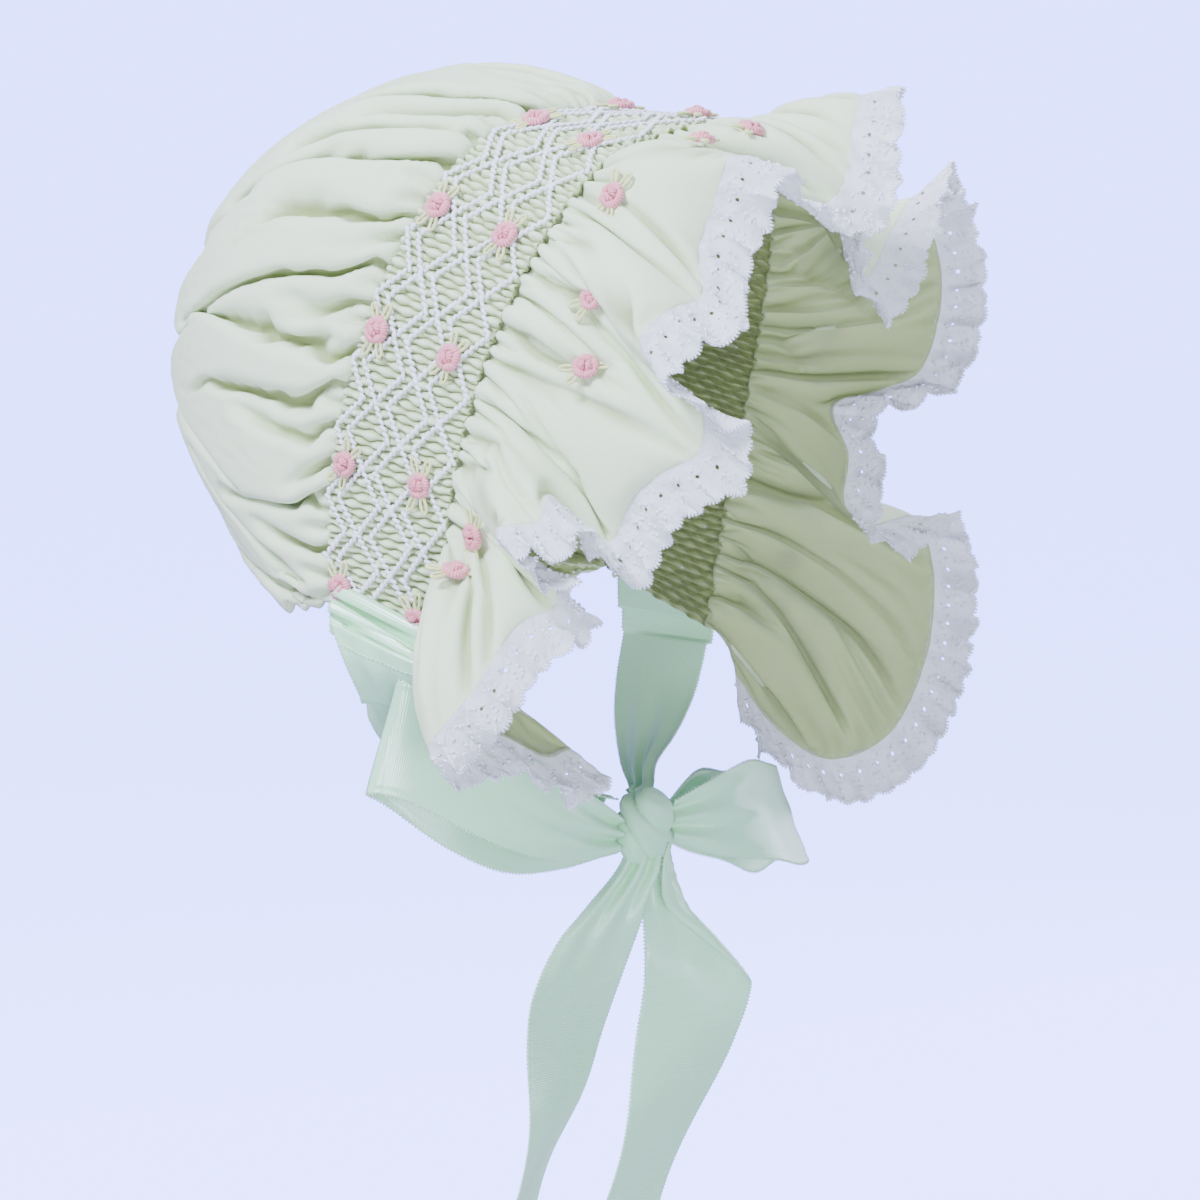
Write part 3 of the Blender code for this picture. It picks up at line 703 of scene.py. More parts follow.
def folds(place, t, rows, girth, wrap):
    """Depth in mm of the valleys in the rows, below the puffs between them."""
    place = place[:, None]
    t = t[None, :]
    depth = np.zeros((place.shape[0], t.shape[1]))
    for start, middle, end, begin, finish, deep, width, steep in rows:
        u = (t - begin) / (finish - begin)
        inside = np.clip(u, 0, 1)
        centre = ((1 - inside) * (1 - 2 * inside) * start + 4 * inside * (1 - inside) * middle
                  + inside * (2 * inside - 1) * end)
        fade_in = 1.0 if begin <= 0.0 else np.clip(u * 2.2, 0, 1)
        fade_out = 1.0 if finish >= 1.0 else np.clip((1 - u) * 1.7, 0, 1)
        envelope = (fade_in * fade_out) * (u > -0.001) * (u < 1.001)
        envelope = envelope * envelope * (3 - 2 * envelope)
        off = place - centre
        if wrap:
            off = (off + 0.5) % 1.0 - 0.5
        x = off * girth[None, :] / (width / 2)
        x = np.where(x < 0, x / steep, x)
        valley = np.exp(-1.9 * np.abs(x) ** 0.85)
        roll = 0.35 * np.exp(-((x + 1.1) ** 2) * 2.2)
        depth += deep * envelope * (valley - roll)
    return depth


def loose_folds(rng, low, high, count, begin, finish, depth, width):
    """Further valleys like the measured ones, spread evenly with a little chance in each."""
    rows = []
    for k in range(count):
        place = low + (high - low) * (k + 0.2 + 0.6 * rng.random()) / count
        lean = rng.uniform(-0.012, 0.012)
        first = begin if begin <= 0 else begin + rng.uniform(0, 0.2)
        last = finish if finish >= 1 else finish * rng.uniform(0.55, 1.0)
        rows.append((place, place + 0.4 * lean, place + lean, first, last, depth * rng.uniform(0.6, 1.1),
                     width * rng.uniform(0.8, 1.2), rng.choice([0.35, 0.5, 0.8])))
    return rows


def facing(normals, outward):
    """The normals, all turned to the side that outward is on."""
    return normals * np.sign((normals * outward).sum())


def pull(points, free, first, second, length, hold):
    """Draws the ends of each thread towards its length apart."""
    a = points[first]
    b = points[second]
    gap = b - a
    now = np.sqrt((gap * gap).sum(-1))
    move_a = free[first]
    move_b = free[second]
    share = (hold * (1 - length / np.maximum(now, 1e-9)) / np.maximum(move_a + move_b, 1e-9))[..., None] * gap
    points[first] = a + share * move_a[..., None]
    points[second] = b - share * move_b[..., None]


def settle(base, out, start, held, along, down, closed, steps, puff, stiff, low, high):
    """Lets gathered cloth find its folds. base and out: the surface that it lies on and its normals;
    start: the grid at first; held: 1 at sewn points, less where a valley is only drawn in; along and
    down: lengths of its threads in mm. Nothing here keeps the cloth from passing through itself."""
    points = start.copy()
    before = start.copy()
    free = (held < 1).astype(float)
    columns, rows = held.shape
    col = np.arange(columns)
    row = np.arange(rows)
    every = slice(None)
    threads = []
    for side in (0, 1):
        a = col[side::2] if closed else col[side:columns - 1:2]
        b = (a + 1) % columns
        threads.append(((a,), (b,), along[a], 1.0))
        r = row[side:rows - 1:2]
        threads.append(((every, r), (every, r + 1), down[:, r], 1.0))
        wide = 0.5 * (along[a][:, 1:] + along[a][:, :-1])
        long = 0.5 * (down[a] + down[b])
        slant = np.sqrt(wide * wide + long * long)
        a, b, r = a[:, None], b[:, None], row[None, :-1]
        threads.append(((a, r), (b, r + 1), slant, 0.15))
        threads.append(((a, r + 1), (b, r), slant, 0.15))
        a = col[col % 4 // 2 == side]
        a = a if closed else a[a < columns - 2]
        threads.append(((a,), ((a + 2) % columns,), along[a] + along[(a + 1) % len(along)], stiff))
        r = row[:-2][row[:-2] % 4 // 2 == side]
        threads.append(((every, r), (every, r + 2), down[:, r] + down[:, r + 1], stiff))
    for step in range(steps):
        if step % 3 == 0:
            outward = facing(surface_normals(points, closed), out)
        now = points.copy()
        points = points + 0.86 * (points - before) + puff * outward * free[..., None]
        before = now
        for thread_set in threads + threads:
            pull(points, free, *thread_set)
        if step % 4 == 3:
            off = ((points - base) * out).sum(-1)
            points = points + out * ((np.clip(off, low, high) - off) * free)[..., None]
        points = points + held[..., None] * (start - points)
    return points


def finer(grid, columns, rows, closed):
    """The grid again with more columns and rows, on smooth curves through its points."""
    for count, wrap in ((columns, closed), (rows, False)):
        n = len(grid)
        at = np.arange(count) * (n / count if wrap else (n - 1) / (count - 1))
        first = np.minimum(np.floor(at).astype(int), n - 1 if wrap else n - 2)
        t = (at - first).reshape((-1,) + (1,) * (grid.ndim - 1))
        knots = [grid[(first + k) % n if wrap else np.clip(first + k, 0, n - 1)] for k in (-1, 0, 1, 2)]
        grid = np.swapaxes(between(*knots, t), 0, 1)
    return grid


def creases(height, reach, full, closed):
    """How far each point lies below its neighbours along the cloth, 0..1."""
    if closed:
        padded = np.concatenate([height[-reach:], height, height[:reach]])
    else:
        padded = np.concatenate([height[:1].repeat(reach, 0), height, height[-1:].repeat(reach, 0)])
    total = np.concatenate([np.zeros((1, height.shape[1])), np.cumsum(padded, axis=0)])
    mean = (total[2 * reach + 1:] - total[:-2 * reach - 1]) / (2 * reach + 1)
    return np.clip((mean - height) / full, 0, 1)


fold_dice = np.random.RandomState(41)
crown_place = np.arange(CROWN_COLUMNS) / CROWN_COLUMNS
crown_t = np.linspace(0.0, 1.0, CROWN_STEPS) ** 1.1
ruche_steps = np.linspace(0.0, 1.0, 8)[1:]
crown_all = crown_points(crown_place, crown_t, ruche_steps)
crown_base = crown_all[:, :CROWN_STEPS]
crown_out = facing(surface_normals(crown_base, closed=True), crown_base - HEAD_MIDDLE)
crown_sink = np.interp(crown_t, [0, 0.1, 0.7, 0.93, 1.0], [0.0, 2.6, 2.8, 4.0, 0.0])
crown_base = crown_base - crown_out * crown_sink[None, :, None]
girth = np.linalg.norm(np.roll(crown_base, -1, axis=0) - crown_base, axis=2).sum(0)
valley_rows = list(CROWN_VALLEYS)
valley_rows += loose_folds(fold_dice, 0.30, 0.985, 26, 0.0, 0.62, 3.8, 15.0)
valley_rows += loose_folds(fold_dice, 0.29, 1.06, 26, 0.42, 1.0, 3.2, 14.0)
depth = folds(crown_place, crown_t, valley_rows, np.maximum(girth, 150.0), True)
at_seam = np.clip(1 - crown_t / 0.12, 0, 1)[None, :]
at_ring = np.clip((crown_t - 0.8) / 0.2, 0, 1)[None, :]
seam_gathers = np.sin(2 * math.pi * CROWN_GATHERS * crown_place + 2.1 * np.sin(2 * math.pi * 17 * crown_place)
                      + 1.3 * np.sin(2 * math.pi * 5 * crown_place))[:, None]
ring_gathers = np.sin(2 * math.pi * RING_GATHERS * crown_place
                      + 1.2 * np.sin(2 * math.pi * 5 * crown_place))[:, None]
lift = (2.4 - 1.5 * depth * (1 - at_ring) * (1 - at_seam) + 0.9 * seam_gathers * at_seam
        + 1.5 * ring_gathers * at_ring)
unrest = finer(fold_dice.uniform(-1, 1, (84, 8, 1)), CROWN_COLUMNS, CROWN_STEPS, True)[..., 0]
lift += 0.7 * unrest * (1 - at_seam) * (1 - at_ring)
lift -= 2.6 * at_seam + 1.6 * at_ring
crown_start = crown_base + crown_out * lift[..., None]
fullness = np.interp(crown_t, [0, 0.12, 0.4, 0.75, 1.0], [1.7, 1.65, 1.46, 1.44, 2.2])[None, :]
along = np.linalg.norm(np.roll(crown_base, -1, axis=0) - crown_base, axis=2) * fullness
down = np.linalg.norm(np.diff(crown_base, axis=1), axis=2) * 1.08
held = 0.08 * np.clip((depth - 1.2) / 1.8, 0, 1) * (crown_t[None, :] > 0.08) * (crown_t[None, :] < 0.93)
held[:, [0, -1]] = 1.0
crown_folded = settle(crown_base, crown_out, crown_start, held, along, down, True,
                      *CROWN_SETTLE)
crown_height = ((crown_folded - crown_base) * crown_out).sum(-1)
ruche_fade = np.linspace(1.0, 0.25, len(ruche_steps))[None, :, None]
ruche_out = unit(crown_all[:, CROWN_STEPS:] - (0.0, RING_BACK, RING_HEIGHT))
ruche = crown_all[:, CROWN_STEPS:] + ruche_out * ruche_fade * (1.5 * ring_gathers[..., None] - 0.6)
crown_grid = finer(np.concatenate([crown_folded, ruche], axis=1), *CROWN_FINE, True)
# Painted shade: the crown's colour darkens as far as each point lies below its neighbours, down in the
# valleys.
crown_crease_shade = np.concatenate([creases(crown_height, 7, 3.2, True), np.zeros(ruche.shape[:2])], axis=1)
crown_crease_shade = np.clip(finer(crown_crease_shade[..., None], *CROWN_FINE, True)[..., 0], 0, 1) * 0.9
# Folds can cross here, and the inner side then shows: faces turned far from outwards get the outer look,
# without the inner side's painted shade
crown_side = facing(surface_normals(crown_grid, closed=True), crown_grid - HEAD_MIDDLE)
crown_rolled = (crown_side * unit(crown_grid - HEAD_MIDDLE)).sum(-1) < ROLLED_BELOW
crown = cloth("crown_cloth", crown_grid, 0.5, COTTON, closed=True, crease=crown_crease_shade, inside=SHADED_COTTON_INSIDE,
              rolled=crown_rolled)
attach(crown, "root")
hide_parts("crown")

# Brim
# A deep flounce of the same cotton, gathered into the band's front edge. It
# stands round the face in flutes, and turns back on itself at the ears.
BRIM_COLUMNS = 640
BRIM_STEPS = 30
LACE_WIDTH = 15.0
BRIM_EDGE = [
    # place, side, back, height, swell
    (0.000, -40.0, -10.0, -184.0, 2.0),
    (0.012, -62.0, -12.0, -187.0, 2.0),
    (0.025, -84.0, -10.0, -177.0, 15.0),
    (0.045, -107.0, -3.0, -179.0, 30.0),
    (0.068, -104.0, -18.0, -162.0, 26.0),
    (0.088, -92.0, -24.0, -145.0, 12.0),
    (0.105, -82.0, -29.0, -141.0, 2.0),
    (0.122, -88.0, -31.0, -129.0, 3.0),
    (0.142, -104.0, -21.0, -118.0, 8.0),
    (0.160, -93.0, -31.0, -116.0, 8.0),
    (0.175, -88.0, -31.0, -110.0, 7.0),
    (0.190, -76.0, -30.0, -118.0, 4.0),
    (0.205, -66.0, -36.0, -127.0, 1.0),
    (0.222, -67.0, -46.0, -112.0, 2.0),
    (0.240, -66.0, -57.0, -104.0, 4.0),
    (0.262, -62.0, -66.0, -99.0, 6.0),
    (0.280, -61.0, -66.0, -86.0, 6.0),
    (0.298, -71.0, -61.0, -80.0, 7.0),
    (0.314, -80.0, -55.0, -70.0, 8.0),
    (0.328, -70.0, -60.0, -61.0, 7.0),
    (0.341, -58.0, -63.0, -58.0, 5.0),
    (0.353, -52.0, -60.0, -51.0, 5.0),
    (0.367, -47.0, -57.0, -44.0, 5.0),
    (0.382, -41.0, -60.0, -30.0, 6.0),
    (0.400, -34.0, -62.0, -15.0, 8.0),
    (0.428, -16.0, -59.0, -25.0, 4.0),
    (0.458, 3.0, -65.0, -33.0, 1.0),
    (0.488, 8.0, -71.0, -24.0, 2.0),
    (0.515, 13.0, -70.0, -5.0, 5.0),
    (0.538, 18.0, -67.0, 6.0, 8.0),
    (0.557, 28.0, -58.0, -4.0, 7.0),
    (0.577, 35.0, -49.0, -22.0, 4.0),
    (0.600, 42.0, -41.0, -44.0, 2.0),
    (0.625, 50.0, -44.0, -57.0, 2.0),
    (0.652, 59.0, -48.0, -50.0, 3.0),
    (0.678, 68.0, -51.0, -29.0, 5.0),
    (0.702, 80.0, -50.0, -15.0, 7.0),
    (0.727, 89.0, -54.0, -35.0, 6.0),
    (0.750, 91.0, -54.0, -54.0, 5.0),
    (0.770, 90.0, -48.0, -75.0, 5.0),
    (0.792, 84.0, -38.0, -81.0, 4.0),
    (0.812, 75.0, -26.0, -86.0, 2.0),
    (0.832, 77.0, -29.0, -104.0, 2.0),
    (0.850, 75.0, -27.0, -121.0, 2.0),
    (0.866, 83.0, -33.0, -127.0, 2.0),
    (0.884, 92.0, -37.0, -123.0, 3.0),
    (0.903, 100.5, -41.0, -119.0, 4.0),
    (0.920, 104.5, -43.0, -127.0, 5.0),
    (0.934, 104.0, -45.0, -144.0, 5.0),
    (0.948, 103.0, -41.0, -169.0, 4.0),
    (0.962, 98.0, -29.0, -194.0, 4.0),
    (0.978, 92.0, -9.0, -205.0, 3.0),
    (0.990, 79.0, 4.0, -197.0, 2.0),
    (1.000, 66.0, 14.0, -181.0, 2.0),
]
# Creases of the brim, as the crown's valleys. place: share of its outer edge from the near ear
BRIM_CREASES = [
    # start place, middle place, end place, from, to, depth, width, steep
    (0.222, 0.234, 0.262, 0.0, 0.95, 2.0, 9.0, 0.3),
    (0.198, 0.205, 0.228, 0.0, 0.75, 1.8, 8.0, 0.4),
    (0.170, 0.186, 0.200, 0.0, 0.60, 1.6, 8.0, 0.4),
    (0.140, 0.132, 0.150, 0.0, 0.65, 1.8, 7.0, 0.4),
    (0.122, 0.126, 0.131, 0.0, 0.55, 1.4, 7.0, 0.5),
    (0.102, 0.119, 0.130, 0.05, 0.95, 1.8, 9.0, 0.5),
    (0.336, 0.345, 0.350, 0.0, 0.48, 1.5, 7.0, 0.4),
    (0.302, 0.316, 0.340, 0.0, 0.80, 2.4, 10.0, 0.3),
    (0.281, 0.280, 0.330, 0.0, 0.85, 2.0, 9.0, 0.4),
    (0.258, 0.266, 0.288, 0.0, 0.75, 1.8, 9.0, 0.4),
    (0.372, 0.366, 0.362, 0.0, 0.40, 1.4, 8.0, 0.5),
    (0.400, 0.395, 0.392, 0.0, 0.32, 1.3, 7.0, 0.5),
    (0.060, 0.070, 0.080, 0.0, 0.60, 1.6, 10.0, 0.5),
    (0.655, 0.690, 0.735, 0.0, 0.90, 1.8, 10.0, 0.5),
    (0.715, 0.745, 0.757, 0.0, 0.80, 1.8, 9.0, 0.5),
    (0.824, 0.834, 0.820, 0.0, 0.80, 2.0, 9.0, 0.4),
    (0.899, 0.906, 0.893, 0.0, 0.90, 1.6, 10.0, 0.5),
    (0.920, 0.938, 0.942, 0.0, 0.90, 1.8, 10.0, 0.4),
]
EDGE_ROWS = np.asarray(BRIM_EDGE)
EDGE_SHARES = even_places(smooth_rows(EDGE_ROWS, FINE)[:, 1:4])
SEAM_LIFT = 0.4
BRIM_SETTLE = (150, 0.006, 0.06, -6.5, 5.5)
BRIM_FINE = (860, 40)
BRIM_GATHERS = 58


def brim_lines(places, depths):
    """Points from the seam with the band to the lace's outer edge. depths: one row of 0..1 for each place."""
    row = smooth_rows(EDGE_ROWS, np.interp(places, EDGE_SHARES, FINE))
    share = np.clip(row[:, 0], 0, 1)
    along, across, out = band_axes(share)
    start = band_edge(share, True, -0.4) - out * SEAM_LIFT
    end = row[:, 1:4]
    reach = np.linalg.norm(end - start, axis=1)[:, None]
    belly = row[:, 4:5]
    first = start + across * 0.34 * reach + out * belly
    second = start + (end - start) * 0.70 + out * belly * 0.8
    t = np.broadcast_to(np.asarray(depths), (len(share), np.shape(depths)[-1]))[..., None]
    line = sum(share_of * point[:, None] for share_of, point in zip(bezier(t), (start, first, second, end)))
    return line, share, out, reach[:, 0]


brim_place = np.linspace(0.0, 1.0, BRIM_COLUMNS)
brim_reach = brim_lines(brim_place, [0.0])[3]
lace_seam = 1 - LACE_WIDTH / brim_reach
brim_full = np.linspace(0.0, 1.0, BRIM_STEPS) ** 1.15
brim_base, brim_share, band_out, _ = brim_lines(brim_place, brim_full[None, :] * lace_seam[:, None])
brim_out = facing(surface_normals(brim_base), band_out[:, None])
edge_length = float(np.linalg.norm(np.diff(smooth_rows(EDGE_ROWS, FINE)[:, 1:4], axis=0), axis=1).sum())
brim_girth = BAND_LENGTH + (edge_length - BAND_LENGTH) * brim_full
crease_rows = [row[:5] + (row[5] * 1.5,) + row[6:] for row in BRIM_CREASES]
crease_rows += loose_folds(fold_dice, 0.42, 0.98, 16, 0.0, 0.6, 1.6, 8.0)
crease_rows += loose_folds(fold_dice, 0.02, 0.42, 9, 0.0, 0.35, 1.2, 6.0)
brim_depth = folds(brim_place, brim_full, crease_rows, brim_girth, False)
seam_share = np.clip(1 - brim_full / 0.14, 0, 1)[None, :]
brim_gathers = np.sin(2 * math.pi * BRIM_GATHERS * brim_share
                      + 2.2 * np.sin(2 * math.pi * 13 * brim_share))[:, None]
at_edge = np.clip((1 - brim_full) * 5, 0, 1)[None, :]
lift = 1.1 * seam_share * brim_gathers - 1.5 * brim_depth * at_edge * (1 - seam_share)
lift += np.interp(brim_full, [0, 0.1, 0.4, 1.0], [-0.4, 1.0, 0.8, 0.0])[None, :]
brim_start = brim_base + brim_out * lift[..., None]
fullness = np.interp(brim_full, [0, 0.15, 0.4, 0.8, 1.0], [1.75, 1.6, 1.34, 1.14, 1.03])[None, :]
along = np.linalg.norm(np.diff(brim_base, axis=0), axis=2) * fullness
down = np.linalg.norm(np.diff(brim_base, axis=1), axis=2) * 1.02
held = 0.12 * np.clip(brim_depth - 0.6, 0, 1) * (brim_full[None, :] > 0.14) * (brim_full[None, :] < 0.8)
held[:, [0, -1]] = 1.0
held[[0, -1]] = 1.0
brim_folded = settle(brim_base, brim_out, brim_start, held, along, down, False, *BRIM_SETTLE)
# Painted shade: the brim's colour darkens as far as each point lies below its neighbours, down in its
# creases.
brim_crease_shade = creases(((brim_folded - brim_base) * brim_out).sum(-1), 8, 2.4, False)
brim_grid = finer(brim_folded, *BRIM_FINE, False)
brim_crease_shade = np.clip(finer(brim_crease_shade[..., None], *BRIM_FINE, False)[..., 0], 0, 1) * 0.75
brim = cloth("brim_cloth", brim_grid, 0.45, COTTON, crease=brim_crease_shade, inside=SHADED_COTTON_INSIDE)
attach(brim, "root")
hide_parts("brim")

# Eyelet lace
# White cotton batiste, 15 mm wide, sewn round the brim's edge. Its outer edge
# is worked in small corded scallops, each with a few knots and an open eyelet.
LACE_COLUMNS = 1400
LACE_ROWS = 17
EYELET_HEIGHT = 6.2
EYELET_RADIUS = 0.6
SCALLOP = 6.6
SCALLOP_DEPTH = 1.9
LACE_RUFFLE = 2.6

lace_place = np.linspace(0.0, 1.0, LACE_COLUMNS + 1)
lace_reach = brim_lines(lace_place, [0.0])[3]
lace_start = 1 - (LACE_WIDTH + 0.9) / lace_reach
lace_run = lace_place * edge_length
scallop = np.abs(np.sin(math.pi * lace_run / SCALLOP)) ** 0.7
lace_end = 1 - (1 - scallop) * SCALLOP_DEPTH / lace_reach
across_lace = np.linspace(0.0, 1.0, LACE_ROWS)
lace_depths = lace_start[:, None] + (lace_end - lace_start)[:, None] * across_lace[None, :]
lace_base, _, lace_band_out, _ = brim_lines(lace_place, lace_depths)
lace_out = facing(surface_normals(lace_base), lace_band_out[:, None])
lace_dice = np.random.RandomState(17)
sway = np.interp(lace_run, np.linspace(0, edge_length, 60), np.cumsum(lace_dice.uniform(-1.3, 1.6, 60)))
ruffle_turn = 2 * math.pi * lace_run / 15.0 + sway
vigour = np.interp(lace_run, np.linspace(0, edge_length, 45), lace_dice.uniform(0.45, 1.35, 45))
ruffle = vigour * (np.sin(ruffle_turn) + 0.45 * np.sin(2.3 * ruffle_turn + 2.0))
curl = vigour * np.sin(2 * ruffle_turn + 0.6)
grow = across_lace[None, :] ** 1.25
lace_side = unit(np.gradient(lace_base, axis=0))
lace_lift = LACE_RUFFLE * ruffle[:, None] * grow + 0.35 * (1 - across_lace[None, :])
lace_grid = lace_base + lace_out * lace_lift[..., None]
lace_grid += lace_side * (0.5 * LACE_RUFFLE * curl[:, None] * grow)[..., None]
crumple = lace_dice.uniform(-1, 1, (LACE_COLUMNS // 4 + 1, 6))
crumple = finer(crumple[..., None], LACE_COLUMNS + 1, LACE_ROWS, False)[..., 0]
lace_grid += lace_out * (0.65 * crumple * np.minimum(1, 4 * across_lace[None, :]))[..., None]


def eyelet_cloth(name):
    """White batiste: fine weave, worked sprigs in relief and open eyelets, over the UV map in metres."""
    material, tree, shader = principled(name, {
        "Roughness": 0.85, "Sheen Weight": 0.6, "Sheen Roughness": 0.4, "Specular IOR Level": 0.25,
        "Subsurface Weight": 0.35, "Subsurface Radius": (1.0, 1.0, 1.1), "Subsurface Scale": 0.003})
    weave, coords = weave_node(tree, 11000.0)
    sprigs = set_inputs(tree.nodes.new("ShaderNodeTexVoronoi"), {"Scale": 620.0})
    tree.links.new(coords.outputs["Object"], sprigs.inputs["Vector"])
    split = tree.nodes.new("ShaderNodeSeparateXYZ")
    tree.links.new(coords.outputs["UV"], split.inputs[0])
    cell = sum_node(tree, "FRACT", sum_node(tree, "DIVIDE", split.outputs[0], SCALLOP * MM))
    aside = sum_node(tree, "MULTIPLY", sum_node(tree, "SUBTRACT", cell, 0.5), SCALLOP)
    up = sum_node(tree, "MULTIPLY", sum_node(tree, "SUBTRACT", split.outputs[1], EYELET_HEIGHT * MM), 1000.0)
    away = sum_node(tree, "SQRT", sum_node(tree, "ADD", sum_node(tree, "MULTIPLY", aside, aside),
                                           sum_node(tree, "MULTIPLY", up, up)))
    solid = sum_node(tree, "GREATER_THAN", away, EYELET_RADIUS)
    tree.links.new(solid, shader.inputs["Alpha"])
    rim = sum_node(tree, "MULTIPLY", sum_node(tree, "LESS_THAN", away, EYELET_RADIUS + 0.55), solid)
    worked = sum_node(tree, "GREATER_THAN", noise(tree, coords.outputs["Object"], 190.0), 0.50)
    relief = sum_node(tree, "MULTIPLY", sum_node(tree, "SUBTRACT", 1.0, sprigs.outputs["Distance"]), worked)
    height = sum_node(tree, "ADD", relief, sum_node(tree, "MULTIPLY", weave.outputs["Height"], 0.35))
    raised(tree, shader, sum_node(tree, "ADD", height, rim), 0.9, 0.0008)
    tone = two_tones(tree, weave.outputs["Tint"], (0.90, 0.91, 1.0), (0.96, 0.96, 1.0))
    tree.links.new(tone, shader.inputs["Base Color"])
    return material


LACE = eyelet_cloth("white_eyelet_batiste")
lace = cloth("eyelet_lace", lace_grid, 0.35, LACE)
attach(lace, "root")
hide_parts("lace_trim")

edge_points = lace_grid[:, -1]
edge_run = run_of(edge_points)
cord_where = np.arange(0.5, edge_run[-1], 1.0)
cord_points = along_line(cord_where, edge_run, edge_points)
cord_along = unit(np.gradient(cord_points, axis=0))
cord_out = along_line(cord_where, edge_run, lace_out[:, -1])
overcast = stitch_bead("overcast_stitch", 2.0, 0.46, 5, 4, 0.0)
scallop_cord = repeated("scallop_cord", cord_points, cord_along, unit(cord_out), overcast, WHITE_THREAD,
                        slant=1.45, turn=0.3, size=0.3, seed=3)
fuzz_where = np.arange(0.3, edge_run[-1], 0.5)
fuzz_points, fuzz_side, fuzz_tip = (
    along_line(fuzz_where, edge_run, field)
    for field in (edge_points, lace_out[:, -1], unit(lace_grid[:, -1] - lace_grid[:, -2])))
stray_fibre = stitch_bead("stray_fibre", 2.2, 0.07, 3, 2, 0.0)
fuzz = repeated("edge_fuzz", fuzz_points + fuzz_tip * 0.5, unit(fuzz_tip), unit(fuzz_side), stray_fibre,
                WHITE_THREAD, turn=1.1, size=0.6, seed=15)
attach(fuzz, "root")
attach(scallop_cord, "root")

knot_cells = np.arange(SCALLOP / 2, edge_length, SCALLOP) / edge_length
SPRIG = [
    # along the lace, across it: share of the lace's width from the seam
    (0.0, 0.78), (-1.2, 0.68), (1.2, 0.68), (-1.0, 0.56), (1.0, 0.56), (0.0, 0.38), (-2.6, 0.30), (2.6, 0.22),
]
sprig_points = []
sprig_out = []
for shift, depth_share in SPRIG:
    at = np.clip(knot_cells + shift / edge_length, 0, 1) * LACE_COLUMNS
    column = np.clip(np.round(at).astype(int), 0, LACE_COLUMNS)
    row_at = int(round(depth_share * (LACE_ROWS - 1)))
    sprig_points.append(lace_grid[column, row_at] + lace_out[column, row_at] * 0.22)
    sprig_out.append(lace_out[column, row_at])
    sprig_points.append(lace_grid[column, row_at] - lace_out[column, row_at] * 0.22)
    sprig_out.append(-lace_out[column, row_at])
sprig_out = np.vstack(sprig_out)
sprig_along = unit(np.cross(sprig_out, (0.3, 0.2, 0.9)))
lace_knot = stitch_bead("lace_knot", 1.5, 0.6, 5, 4, 0.0)
sprigs = repeated("lace_sprigs", np.vstack(sprig_points), sprig_along, sprig_out, lace_knot, WHITE_THREAD,
                  turn=3.1, size=0.35, seed=5)
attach(sprigs, "root")

# Ribbon ties and bow
# Satin ribbon 32 mm wide with a corded selvedge. Each tie is folded under and
# sewn on at the ear, and the two are tied in a bow below the chin.
TIE_RIGHT = [
    # side, back, height, width, yaw, pitch
    (-70.2, 47.0, -149.5, 31.0, -90.0, -14.0),
    (-70.7, 47.0, -142.0, 32.0, -90.0, -17.0),
    (-71.5, 47.0, -137.0, 32.0, -90.0, -20.0),
    (-72.6, 47.0, -135.6, 32.0, -90.0, -20.0),
    (-73.6, 47.0, -138.0, 32.0, -90.0, -20.0),
    (-73.4, 46.8, -146.0, 32.0, -90.0, -19.0),
    (-74.2, 46.6, -147.6, 32.0, -90.0, -19.0),
    (-74.9, 46.6, -145.5, 32.0, -90.0, -19.0),
    (-74.9, 46.4, -141.6, 32.0, -90.0, -19.0),
    (-75.7, 46.3, -140.3, 32.0, -90.0, -19.0),
    (-76.5, 46.2, -142.2, 32.0, -90.0, -19.0),
    (-76.3, 46.0, -147.4, 32.0, -90.0, -18.0),
    (-76.9, 45.8, -149.0, 32.0, -90.0, -18.0),
    (-77.5, 45.6, -147.2, 32.0, -90.0, -18.0),
    (-77.4, 45.4, -144.6, 32.0, -90.0, -18.0),
    (-78.1, 45.2, -143.4, 32.0, -90.0, -18.0),
    (-78.8, 44.6, -145.2, 31.0, -90.0, -18.0),
    (-77.0, 42.0, -153.0, 27.5, -88.0, -14.0),
    (-69.5, 42.0, -162.0, 26.0, -86.0, -6.0),
    (-61.0, 45.5, -170.5, 27.0, -84.0, -2.0),
    (-49.0, 46.0, -179.0, 25.0, -80.0, 2.0),
    (-35.0, 40.0, -186.0, 20.0, -70.0, 6.0),
    (-20.0, 29.0, -192.0, 15.0, -60.0, 8.0),
    (-7.4, 16.9, -195.1, 11.0, -52.0, 8.0),
]
TIE_LEFT = [
    (70.2, 47.0, -148.5, 31.0, -90.0, -5.0),
    (70.7, 47.0, -142.0, 32.0, -90.0, -7.0),
    (71.5, 47.0, -137.0, 32.0, -90.0, -9.0),
    (73.0, 47.0, -135.4, 32.0, -90.0, -9.0),
    (74.6, 47.0, -137.5, 32.0, -90.0, -8.0),
    (74.6, 47.0, -147.0, 32.0, -90.0, -6.0),
    (72.0, 46.5, -158.0, 32.0, -92.0, -4.0),
    (65.0, 45.0, -170.0, 30.0, -96.0, -2.0),
    (51.0, 40.0, -181.0, 26.0, -104.0, 2.0),
    (34.0, 31.0, -189.0, 21.0, -114.0, 6.0),
    (19.0, 20.0, -194.5, 15.0, -122.0, 8.0),
    (8.8, 15.9, -195.3, 11.0, -128.0, 8.0),
]
